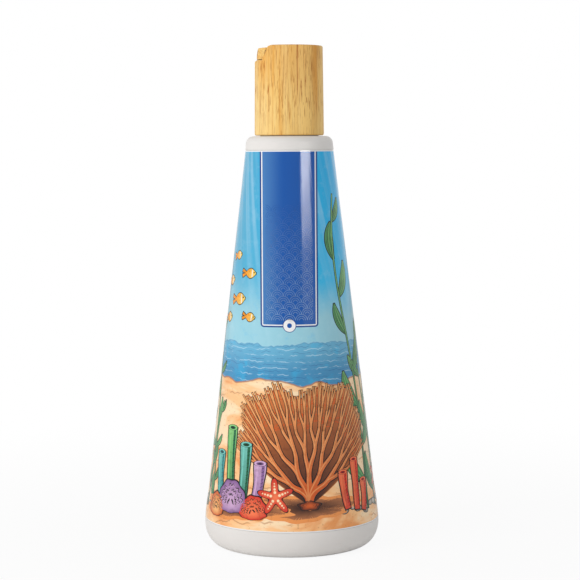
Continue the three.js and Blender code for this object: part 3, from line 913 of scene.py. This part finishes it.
def mound(art, centre, width, height, light, dark, seed):
    """Rounded coral: a half ellipse with a wavy rim; its ridges are smaller, broken, wavy arcs."""
    chance = np.random.default_rng(seed)
    turn = steps_round(60)
    bulge = 1 + 0.035 * np.sin(9 * turn + seed)
    rise = np.where(np.sin(turn) > 0, height, 0.35 * height)
    shape = np.stack([0.5 * width * bulge * np.cos(turn), rise * bulge * np.sin(turn)], 1)
    art.inked_patch(centre, shape, shape * (1 + 2 * art.line / width), light, dark, 2, 10)
    s = np.linspace(0, 1, 16)
    girth = 0.030 * width * np.sin(math.pi * (0.08 + 0.84 * s)) ** 0.5
    for share in (0.20, 0.40, 0.60, 0.80):
        parts = int(1 + 5 * share)
        for part in range(parts):
            along = part + 0.08 + 0.84 * s + 0.15 * chance.uniform(-1, 1)
            aim = math.pi * (0.02 + along / parts)
            reach = share + 0.055 * np.sin(22 * aim + 6 * chance.random())
            path = np.array(centre) + reach[:, None] * aimed(aim) * (0.5 * width, height)
            art.stroke(path - (0, 0.6 * girth[8]), girth, light, 4)
            art.stroke(path, 0.8 * girth, art.colours.ink, 4.5)


def tube_sponge(art, base, height, width, lean, light, dark):
    """A tube that widens upwards and ends in an open, elliptic mouth."""
    ink = art.colours.ink
    t = np.linspace(0, 1, 14)
    path = curve_from(base, math.pi / 2 + lean, height, -1.3 * lean, 14)
    girth = width * (0.62 + 0.38 * t + 0.05 * np.sin(9 * t))
    art.inked_stroke(path, girth, toned(dark, light, 0.2 + 0.7 * t), 2, 4)
    art.stroke(path[1:] + (-0.22 * width, 0), 0.16 * girth[1:], light, 4)
    art.stroke(path[1:] + (0.26 * width, 0), 0.24 * girth[1:], dark, 4)
    for place in 13 * np.linspace(0.08, 0.88, 5 + int(0.3 * height)):
        spot = path[int(place)] * (1 - place % 1) + path[int(place) + 1] * (place % 1)
        hatch = curve_from(spot + (0.12 * width, -0.02 * width), 0.1, 0.26 * width, 0.9, 6)
        art.stroke(hatch, 0.04 * width * np.linspace(0.4, 1, 6), ink, 4.5)
    mouth = aimed(steps_round(28)) * (0.5 * width, 0.2 * width)
    art.inked_patch(path[-1], mouth, mouth * 1.12, light, light, 4, 4)
    art.patch(path[-1] - (0, 0.02 * width), mouth * 0.62, ink, dark, 6, 3)


def small_fish(art, centre, length, heading, light, dark):
    """A fish: an almond of width sin(pi t)^0.9, a forked tail, a fin and one round eye."""
    inks, thin = art.colours, 0.7
    aim = aimed(heading)
    side = np.array([-aim[1], aim[0]])
    s = np.linspace(0, 1, 18)
    spine = centre + aim * (length * (0.62 * s - 0.28))[:, None]
    for way in (-1, 1):
        tail = curve_from(centre - aim * 0.24 * length, heading + math.pi - 0.55 * way,
                          0.30 * length, 0.3 * way, 7)
        art.inked_stroke(tail, 0.15 * length * np.linspace(0.5, 1, 7), dark, 2, 2, thin)
    girth = 0.44 * length * np.sin(math.pi * (0.02 + 0.96 * s)) ** 0.9
    art.inked_stroke(spine, girth, toned(dark, light, s), 3, 4, thin)
    fin = curve_from(centre + side * 0.05 * length, heading + 2.5, 0.2 * length, 0.4, 6)
    art.stroke(fin, 0.07 * length * np.sin(np.linspace(0.6, 2.9, 6)), dark, 5.2)
    band = centre + aim * 0.13 * length + side * (0.17 * length * np.linspace(-1, 1, 6))[:, None]
    art.stroke(band, 0.05 * length, inks.white, 5.2)
    art.patch(centre + aim * 0.24 * length + side * 0.04 * length,
              aimed(steps_round(12)) * 0.035 * length, inks.ink, inks.ink, 6, 2)


def pebbles(art, places, seed):
    """Pebbles: circles flattened to 0.6 and dented by sin(2 t) and sin(3 t)."""
    inks = art.colours
    chance = np.random.default_rng(seed)
    turn = steps_round(28)
    for number, (across, up, size) in enumerate(places):
        dent = 1 + 0.09 * np.sin(2 * turn + chance.random() * 6) + 0.06 * np.sin(3 * turn + number)
        shape = size * dent[:, None] * aimed(turn) * (1, 0.6)
        art.inked_patch((across, up), shape, shape * (1 + 0.8 * art.line / size),
                        inks.pebble_light, inks.pebble, 1.6, 5)
        glint = curve_from((across - 0.45 * size, up + 0.12 * size), 0.9, 0.6 * size, -1.2, 6)
        art.stroke(glint, 0.09 * size * np.sin(np.linspace(0.4, 2.7, 6)), inks.white, 3.6)


class BottleOperator(bpy.types.Operator):
    """What the operators of this add-on share."""
    bl_options = {"REGISTER", "UNDO"}

    def execute(self, context):
        """Builds the operator's pieces; whatever goes wrong there raises an error."""
        self.build(context.scene)
        return {"FINISHED"}


class BOTTLE_OT_studio(BottleOperator):
    """Camera at the photograph's viewpoint, pale floor, soft room light and lamps"""
    bl_idname = "bottle.studio"
    bl_label = "Studio"

    def build(self, scene):
        """Sets up everything that isn't part of the bottle."""
        studio = scene.studio_settings
        scene.view_settings.view_transform = "Standard"
        place = Vector((studio.camera_side, -studio.camera_distance, studio.camera_height))
        camera = bpy.data.objects.new("camera", bpy.data.cameras.new("camera"))
        camera.data.lens = studio.lens
        camera.data.sensor_width = 36
        camera.data.clip_end = 50
        aim = Vector((studio.camera_side, 0, studio.camera_aim)) - place
        camera.matrix_world = (
            self.facing(place, aim) @ Matrix.Rotation(studio.camera_roll, 4, "Z"))
        scene.collection.objects.link(camera)
        scene.camera = camera
        self.floor(scene, studio)
        self.room(scene, studio)
        strip = (1.0, 0.985, 0.93)
        for name, direction, size, power, tint, hidden in (
            ("left_softbox", (-50, 13, 1.3), (0.95, 0.7), 8.0, (1.0, 0.985, 0.97), "glossy"),
            ("top_softbox", (-10, 78, 1.3), (1.2, 1.2), 0.6, (1.0, 1.0, 1.0), None),
            ("right_strip_high", (42, 17.1, 1.25), (0.56, 0.15), 4.9, strip, "diffuse"),
            ("right_strip_middle", (37, 12.6, 1.25), (0.50, 0.07), 1.2, strip, "diffuse"),
            ("right_strip_low", (34, 8.8, 1.25), (0.48, 0.12), 0.2, strip, "diffuse"),
        ):
            lamp = self.lamp(scene, name, direction, size, power, tint)
            if hidden:
                setattr(lamp, "visible_" + hidden, False)

    def facing(self, place, aim):
        """A place and a turn there that look along aim."""
        return Matrix.Translation(place) @ aim.to_track_quat("-Z", "Y").to_matrix().to_4x4()

    def floor(self, scene, studio):
        """A wide pale floor; camera rays see it lifted towards white, and it keeps its shadow."""
        half, near, far = 6.0, 80, 420
        mesh = bpy.data.meshes.new("floor")
        mesh.from_pydata(
            [(-half, -half, 0), (half, -half, 0), (half, half, 0), (-half, half, 0)],
            [], [(0, 1, 2, 3)])
        floor = bpy.data.objects.new("floor", mesh)
        scene.collection.objects.link(floor)
        paint = Paint("floor_white", {
            "Base Color": (0.95, 0.95, 0.95), "Roughness": 0.9, "Specular IOR Level": 0.1})
        rays = paint.node("ShaderNodeLightPath", output="Is Camera Ray")
        glow = paint.node("ShaderNodeEmission", None, {"Color": (1, 1, 1), "Strength": 1.0})
        x, y = paint.axes()[:2]
        away = paint.fade(paint.maths("SQRT", x * x + y * y), near, far)
        lift = rays * (studio.floor_lift + (1 - studio.floor_lift) * away)
        mixed = paint.node("ShaderNodeMixShader", None, {
            0: lift, 1: Signal(paint, paint.shader.outputs[0]), 2: glow})
        paint.feed(paint.tree.nodes["Material Output"].inputs["Surface"], mixed)
        mesh.materials.append(paint.material)

    def room(self, scene, studio):
        """White for camera, glossy and transmission rays, and plain light for the rest."""
        scene.world = bpy.data.worlds.new("room")
        nodes = Nodes(scene.world)
        camera, glossy, transmission = (
            nodes.node("ShaderNodeLightPath", output=f"Is {kind} Ray")
            for kind in ("Camera", "Glossy", "Transmission"))
        seen = nodes.maths("MAXIMUM", camera, nodes.maths("MAXIMUM", glossy, transmission))
        level = nodes.node("ShaderNodeMapRange", None, {
            "Value": seen, "To Min": studio.room, "To Max": 1.0})
        backdrop = nodes.tree.nodes["Background"]
        nodes.feed(backdrop.inputs["Color"], (1, 1, 1))
        nodes.feed(backdrop.inputs["Strength"], level)

    def lamp(self, scene, name, direction, size, power, tint):
        """A lamp that faces the bottle; its direction is azimuth, elevation and distance."""
        middle = Vector((0, 0, 0.12))
        azimuth, elevation = (math.radians(angle) for angle in direction[:2])
        way = Vector((math.sin(azimuth) * math.cos(elevation),
                      -math.cos(azimuth) * math.cos(elevation), math.sin(elevation)))
        light = bpy.data.lights.new(name, "AREA")
        light.shape = "RECTANGLE"
        light.size, light.size_y = size
        light.energy = power
        light.color = tint
        lamp = bpy.data.objects.new(name, light)
        lamp.matrix_world = self.facing(middle + way * direction[2], -way)
        scene.collection.objects.link(lamp)
        return lamp


class BOTTLE_OT_body(BottleOperator):
    """Blow-moulded bottle with its base, panel, shoulder and neck"""
    bl_idname = "bottle.body"
    bl_label = "Bottle"

    def build(self, scene):
        """Turns one closed profile, up the outside and down the inside, about the axis."""
        sizes, film = scene.bottle_sizes, scene.film_sizes
        wall, shoulder, top = sizes.wall, sizes.shoulder_height, sizes.neck_top
        punt = sizes.foot_radius - sizes.foot_width
        heel = (sizes.wide_radius - sizes.foot_radius, sizes.wide_height)
        heel_centre = (sizes.foot_radius, sizes.wide_height)
        panel_gap, panel_ease, lead_ease, lead = 0.15 * MM, 0.1 * MM, 0.14 * MM, 1 * MM
        foot_ease, chamfer, collar_gap, collar_rise = 0.5 * MM, 0.5 * MM, 0.2 * MM, 1.6 * MM
        neck_eases = [ease * MM for ease in (0.8, 0.25, 0.4, 0.2, 0.3, 0.3, 0.5)]
        low, high = film.bottom - panel_gap, film.top + panel_gap
        corner = shoulder - sizes.shoulder_corner
        root = sizes.thread_radius - sizes.thread_depth
        bore = root - sizes.neck_wall
        collar, collar_top = sizes.thread_radius - collar_gap, shoulder + collar_rise
        base = rounded([
            *ellipse((0, 0), (punt, sizes.punt_rise), 90, 6, 22),
            (punt + 0.1 * MM, 0), (sizes.foot_radius - 0.6 * MM, 0),
            *ellipse(heel_centre, heel, -86, 0, 24),
        ], [0] * 21 + [foot_ease] + [0] * 40, 4)
        panel = wall_line(sizes, low, high, sizes.panel_depth)
        before, start, end, after = (
            (float(body_radius(sizes, height)), height)
            for height in (low - lead, low, high, corner - lead))
        side = rounded(
            [base[-1], before, start, *panel, end, after],
            [0, lead_ease, panel_ease, *[0] * (len(panel) - 2), panel_ease, lead_ease], 3)
        top_radius = float(body_radius(sizes, corner))
        neck = rounded([
            *ellipse((top_radius - sizes.shoulder_corner, corner),
                     (sizes.shoulder_corner, sizes.shoulder_corner), 0, 90, 12),
            (collar, shoulder), (collar, collar_top), (root, collar_top + sizes.thread_depth),
            (root, top - chamfer), (root - chamfer, top), (bore, top), (bore, shoulder - wall),
            (top_radius - wall, shoulder - wall), (top_radius - wall, corner - wall),
        ], [0] * 12 + [*neck_eases, sizes.shoulder_corner - wall], 5)
        inside = wall_line(sizes, sizes.wide_height, corner - wall, wall)[::-1]
        floor = np.concatenate([
            ellipse(heel_centre, (heel[0] - wall, heel[1] - wall), 0, -90, 16)[1:],
            ellipse((0, wall), (punt + wall, sizes.punt_rise), 0, 90, 14)[1:]])
        profile = np.concatenate([base, side[1:], neck, inside, floor])
        grid = round_axis(profile[:, :1], steps_round(sizes.columns) + FRONT, profile[:, 1:])
        make_piece("bottle_shell", grid, quads(*grid.shape[:2]), "bottle", "bottle_plastic",
                   material("blown_plastic", white_plastic), ["bottle_body"], sharp=30)


class BOTTLE_OT_threads(BottleOperator):
    """Thread on the neck and the matching thread in the inner cap"""
    bl_idname = "bottle.threads"
    bl_label = "Threads"

    def ridge(self, root, crest, start, pitch, turns):
        """A four-cornered section that follows (r cos t, r sin t, start + pitch t / 2 pi)."""
        steps_a_turn, run_out = 64, 0.6
        t = np.linspace(0, turns * TURN, int(turns * steps_a_turn) + 1)[:, None]
        swell = np.clip(np.minimum(t, t[-1] - t) / run_out, 0, 1)
        swell = swell * swell * (3 - 2 * swell)
        out, up = np.array([[0, -0.8], [1, -0.35], [1, 0.35], [0, 0.8]]).T
        reach = root + (crest - root) * out * (0.02 + 0.98 * swell)
        rise = start + pitch * t / TURN + up * MM * (0.25 + 0.75 * swell)
        return round_axis(reach, t, rise), tube_faces(len(t), len(up))

    def build(self, scene):
        """Makes the two ridges, half a pitch apart."""
        sizes = scene.bottle_sizes
        crest, pitch, start = sizes.thread_radius, sizes.thread_pitch, sizes.thread_start
        sink, play, cap_depth = 0.05 * MM, 0.3 * MM, 0.95 * MM
        bore = crest + play
        make_piece(
            "neck_thread",
            *self.ridge(crest - sizes.thread_depth - sink, crest, start, pitch, 1.5),
            "bottle", "bottle_plastic", material("blown_plastic", white_plastic), sharp=50)
        make_piece(
            "cap_thread", *self.ridge(bore, bore - cap_depth, start + pitch / 2, pitch, 1.4),
            "cap", "inner_plastic", material("inner_moulding", inner_moulding), sharp=50)


class BOTTLE_OT_film(BottleOperator):
    """Printed film in its panel, with the lap of its ends at the back"""
    bl_idname = "bottle.film"
    bl_label = "Printed film"

    def build(self, scene):
        """Carries the film's thin section round the bottle; the lap lifts the outer face."""
        sizes, film = scene.bottle_sizes, scene.film_sizes
        rows, columns, lap_step = 40, 320, 0.0035
        outer = wall_line(sizes, film.bottom, film.top, film.sink, rows)
        inner = wall_line(sizes, film.bottom, film.top, film.sink + film.thickness, rows)[::-1]
        profile = np.concatenate([outer, inner])
        t = np.append(steps_round(columns) - math.pi, math.pi - lap_step)
        back = np.mod(t, TURN) - math.pi
        lap = film.lap_width / sizes.cone_foot_radius
        rise = film.lap_rise * np.clip(1 + back / lap, 0, 1) * (back < 0)
        lift = np.repeat([1, 0], [len(outer), len(inner)])[:, None]
        grid = round_axis(profile[:, :1] + lift * rise, t + FRONT, profile[:, 1:])
        make_piece("printed_film", grid, quads(*grid.shape[:2], loop=True), "bottle",
                   "printed_film", film_print(), ["label_sleeve"], sharp=30)


class BOTTLE_OT_banner_scales(BottleOperator):
    """Scale pattern of the dark panel and the round mark at its foot"""
    bl_idname = "bottle.banner_scales"
    bl_label = "Print: panel pattern"

    def build(self, scene):
        """Draws the pattern on the front."""
        draw("panel_pattern", (0, 0), (self.scales, scene.film_sizes))

    def scales(self, art, film):
        """Half circles in rows that are offset by a radius; they pale towards the panel's foot."""
        inks = art.colours
        middle, foot, half = in_millimetres(
            film, "banner_side", "banner_foot", "banner_half_width")
        columns, rows, quarter = 8, 19, 9
        rim, low, stroke = 2.2, foot + 3.2, 0.2
        step = 2 * (half - rim) / columns
        turn = np.linspace(0, math.pi, 2 * quarter + 1)
        for row in range(rows):
            ink = toned(inks.ray, inks.banner, [0.66 + 0.34 * row / rows])[0]
            for column in range(row % 2, columns + 1, 2):
                arc = turn[quarter * (column == columns):len(turn) - quarter * (column == 0)]
                centre = (middle + (column - columns / 2) * step, low + row * step)
                for share in (0.98, 0.66, 0.34):
                    art.stroke(centre + share * step * aimed(arc), stroke, ink, 1)
        mark, circle = (middle, foot + 0.8), aimed(steps_round(48))
        for radius, ink, layer, rings in (
            (3.1, inks.banner_edge, 1, 8), (2.8, inks.white, 2, 8), (1.1, inks.banner, 3, 5),
        ):
            art.patch(mark, radius * circle, ink, ink, layer, rings)


class BOTTLE_OT_reef_corals(BottleOperator):
    """Sea fans and rounded corals of the print"""
    bl_idname = "bottle.reef_corals"
    bl_label = "Print: corals"

    def build(self, scene):
        """Draws the corals, the big one on the front and smaller ones round the back."""
        inks = scene.print_colours
        teal, kelps = (inks.teal_light, inks.teal), (inks.kelp_light, inks.kelp)
        mauve, red = (inks.mound_light, inks.mound), (inks.star_light, inks.star)
        draw("sea_fan", (12, 23, 5), (cast_shade, (-2, 1), 46, 9, 1.0),
             (sea_fan, (0, 2), 62, 5, 55, 4))
        for name, angle, size, seed in (("left", -146, 46, 8), ("right", 124, 36, 11)):
            draw("sea_fan_" + name, (angle, 22), (cast_shade, (0, 1), 0.7 * size, 6, seed),
                 (sea_fan, (0, 2), size, seed, 62, 3))
        draw("tube_sponges_left", (-37, 23, 12), (cast_shade, (-2, 0), 44, 9, 2.0),
             (tube_sponge, (-13, 2), 22, 6, 0.22, *teal),
             (tube_sponge, (-6, 3), 33, 6, 0.10, *kelps),
             (tube_sponge, (8, 2), 19, 6, -0.20, *mauve),
             (tube_sponge, (1, 2), 27, 6, -0.06, inks.teal_light, inks.kelp))
        draw("round_corals", (-38, 19, 19), (mound, (-5, 5), 18, 11, *mauve, 3),
             (mound, (8, 2), 14, 8, *red, 4),
             (mound, (-16, 1), 12, 8, inks.coral_light, inks.coral, 6))
        draw("tube_sponges", (46, 20, 12), (tube_sponge, (-4, 2), 17, 5, 0.18, *red),
             (tube_sponge, (2, 1), 23, 5, -0.05, *red), (tube_sponge, (7, 0), 14, 5, -0.28, *red))
        draw("round_corals_back", (176, 20), (mound, (-8, 3), 22, 14, *teal, 9),
             (mound, (9, 1), 16, 9, *mauve, 10))


class BOTTLE_OT_reef_weed(BottleOperator):
    """Weed of the print"""
    bl_idname = "bottle.reef_weed"
    bl_label = "Print: weed"

    def build(self, scene):
        """Draws the tall weed at the right and more at the left and round the back."""
        for name, angle, stems in (
            ("right", 62, ((0, 146, 8, 19, 1), (10, 86, -5, 15, 4), (18, 60, 4, 13, 2))),
            ("left", -78, ((0, 88, -6, 12, 3), (6, 50, -4, 9, 5))),
            ("back", 158, ((0, 120, 6, 13, 6), (-10, 84, -5, 12, 7))),
            ("back_left", -112, ((0, 64, 5, 12, 8), (8, 92, -4, 12, 9))),
        ):
            draw("weed_" + name, (angle, 20), *((kelp, *stem) for stem in stems))


class BOTTLE_OT_reef_small(BottleOperator):
    """Starfish, fish and pebbles of the print"""
    bl_idname = "bottle.reef_small"
    bl_label = "Print: small things"

    def build(self, scene):
        """Draws the small things on the sand and in the water."""
        inks = scene.print_colours
        draw("starfish", (-11, 29, 24), (starfish, 8.5, 0.4))
        draw("starfish_back", (84, 33), (starfish, 7, 1.1))
        for name, place, light, dark, school in (
            ("left", (-55, 118), inks.fish_light, inks.fish, (
                ((0, 0), 12, 0.1), ((-10, 8), 10, 0.25), ((6, 12), 10, 0.0),
                ((-4, 20), 8.5, 0.2), ((8, -8), 9, -0.1), ((-9, -9), 10, 0.15))),
            ("back", (132, 128), inks.teal_light, inks.teal, (
                ((0, 0), 9, 3.3), ((10, 7), 7.5, 3.0), ((-8, 9), 7, 3.2),
                ((3, 16), 6.5, 3.1), ((12, -6), 7, 3.3))),
        ):
            draw("fish_" + name, place, *((small_fish, *fish, light, dark) for fish in school))
        chance = np.random.default_rng(21)
        for part in range(4):
            across = np.linspace(-27, 27, 15) + 1.2 * chance.standard_normal(15)
            up = 19.5 + 4.5 * chance.random(15)
            size = 1.0 + 1.6 * chance.random(15)
            draw(f"pebbles_{part + 1}", (-135 + 90 * part, 0),
                 (pebbles, np.stack([across, up, size], 1), part))


class BOTTLE_OT_cap_shell(BottleOperator):
    """Wood-look shell of the closure with its rim, its hem and its pouring notch"""
    bl_idname = "bottle.cap_shell"
    bl_label = "Closure shell"

    def build(self, scene):
        """Turns the shell's section, with the columns drawn in so that two of them edge the notch.

        A point (r, z) of the section lies at the angle asin(h(z) / r) from the nose on the
        notch's edge, h being half its width. Above the sill there are no faces inside the notch;
        the sill joins the outer to the inner wall, and each cheek is one flat face.
        """
        sizes = scene.closure_sizes
        bottom, top = SHELL_BOX[0].z, SHELL_BOX[1].z
        foot = sizes.shell_radius + sizes.shell_draft
        bore, hem = sizes.shell_radius - sizes.rim_width, sizes.skirt_radius - sizes.hem_grip
        outer_sill = top - sizes.notch_depth
        sill = outer_sill + sizes.sill_slope
        wall = foot - sizes.shell_draft * (outer_sill - bottom) / (top - bottom)
        hem_step, bore_ease, edge_ease, hem_ease = 0.3 * MM, 0.35 * MM, 0.1 * MM, 0.05 * MM
        outside = rounded(
            [(hem, bottom), (foot, bottom), (wall, outer_sill)], [sizes.hem_round], 6)
        head = rounded([
            (wall, outer_sill), (sizes.shell_radius, top), (bore, top),
            (bore, top - sizes.rim_thickness), (sizes.shell_bore, top - sizes.rim_thickness),
            (sizes.shell_bore, sill),
        ], [sizes.rim_round, bore_ease, edge_ease, 0], 5)
        inside = rounded([
            (sizes.shell_bore, sill), (sizes.shell_bore, bottom + sizes.hem_height + hem_step),
            (hem, bottom + sizes.hem_height), (hem, bottom),
        ], [edge_ease, hem_ease], 2)[:-1]
        profile = np.concatenate([outside, head[1:-1], inside])
        first, last = len(outside) - 1, len(outside) + len(head) - 2
        radius, height = profile.T[..., None]
        half = np.interp(
            np.clip(height, outer_sill, top), [outer_sill, top - sizes.flare_depth, top],
            [sizes.notch_half_width, sizes.notch_half_width + sizes.notch_draft,
             sizes.flare_half_width])
        edge = np.arcsin(half / radius)
        mouth = 32
        rest = sizes.columns - mouth
        t = np.concatenate([
            edge * np.linspace(-1, 1, mouth + 1),
            edge + (TURN - 2 * edge) * np.arange(1, rest) / rest], 1) + sizes.yaw
        grid = round_axis(radius, t, height)
        rows, columns = t.shape
        row, column = np.divmod(np.arange(rows * columns), columns)
        open_faces = (row >= first) & (row < last) & (column < mouth)
        faces = quads(rows, columns, loop=True)[~open_faces].tolist()
        low, high = first * columns, last * columns
        faces += [[low + at, low + at + 1, high + at + 1, high + at] for at in range(mouth)]
        faces += [list(range(low + at, high + at + 1, columns)) for at in (0, mouth)]
        shell = make_piece("closure_shell", grid, faces, "cap", "wood_look_plastic",
                           wood_print("wood_print_upright", "Z"), ["outer_cap"], sharp=32)
        bevel(shell, sizes.edge_round, angle=40)


class BOTTLE_OT_disc(BottleOperator):
    """Disc that is pressed at the back, with its nose, spout, valve and pins"""
    bl_idname = "bottle.disc"
    bl_label = "Disc"

    def build(self, scene):
        """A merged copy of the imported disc, with its flat faces joined and its edges rounded."""
        doubles, flat = 1e-6, math.radians(0.5)
        work = bmesh.new()
        work.from_mesh(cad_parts["press_disc"].data)
        bmesh.ops.remove_doubles(work, verts=work.verts, dist=doubles)
        bmesh.ops.dissolve_limit(work, angle_limit=flat, verts=work.verts, edges=work.edges)
        points = [vertex.co[:] for vertex in work.verts]
        work.verts.index_update()
        faces = [[vertex.index for vertex in face.verts] for face in work.faces]
        work.free()
        disc = make_piece("pour_disc", points, faces, "disc", "wood_look_plastic",
                          wood_print("wood_print_lying", "X"), ["press_disc"], sharp=32)
        bevel(disc, scene.closure_sizes.disc_edge_round, angle=36)


class BOTTLE_OT_inner_parts(BottleOperator):
    """Finishes of the inner cap and the washer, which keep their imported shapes"""
    bl_idname = "bottle.inner_parts"
    bl_label = "Inner parts"

    def build(self, scene):
        """Gives the carried-over nodes their materials."""
        for node, finish in (("inner_cap", material("inner_moulding", inner_moulding)),
                             ("neck_gasket", material("foam_sheet", foam_sheet))):
            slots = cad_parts[node].data.materials
            slots.clear()
            slots.append(finish)


OPERATORS = (
    BOTTLE_OT_studio, BOTTLE_OT_body, BOTTLE_OT_threads, BOTTLE_OT_film, BOTTLE_OT_banner_scales,
    BOTTLE_OT_reef_corals, BOTTLE_OT_reef_weed, BOTTLE_OT_reef_small, BOTTLE_OT_cap_shell,
    BOTTLE_OT_disc, BOTTLE_OT_inner_parts,
)


class BOTTLE_PT_panel(bpy.types.Panel):
    """Lists the pieces and their sizes"""
    bl_label = "Shampoo bottle"
    bl_idname = "BOTTLE_PT_panel"
    bl_space_type = "VIEW_3D"
    bl_region_type = "UI"
    bl_category = "Bottle"

    def draw(self, context):
        """One button a piece, then the sizes and colours of each group."""
        for operator in OPERATORS:
            self.layout.operator(operator.bl_idname)
        for name, group in GROUPS.items():
            box = self.layout.box()
            box.label(text=name.replace("_", " ").capitalize())
            for field in group.__annotations__:
                box.prop(getattr(context.scene, name), field)


CLASSES = (*GROUPS.values(), *OPERATORS, BOTTLE_PT_panel)


def register():
    """Registers the classes and hangs the property groups on the scene."""
    for entry in CLASSES:
        bpy.utils.register_class(entry)
    for name, group in GROUPS.items():
        setattr(bpy.types.Scene, name, PointerProperty(type=group))


def unregister():
    """Takes the property groups and the classes away again."""
    for name in GROUPS:
        delattr(bpy.types.Scene, name)
    for entry in reversed(CLASSES):
        bpy.utils.unregister_class(entry)


def main():
    """Builds every piece in order."""
    register()
    for operator in OPERATORS:
        group, action = operator.bl_idname.split(".")
        getattr(getattr(bpy.ops, group), action)()


if __name__ == "__main__":
    main()
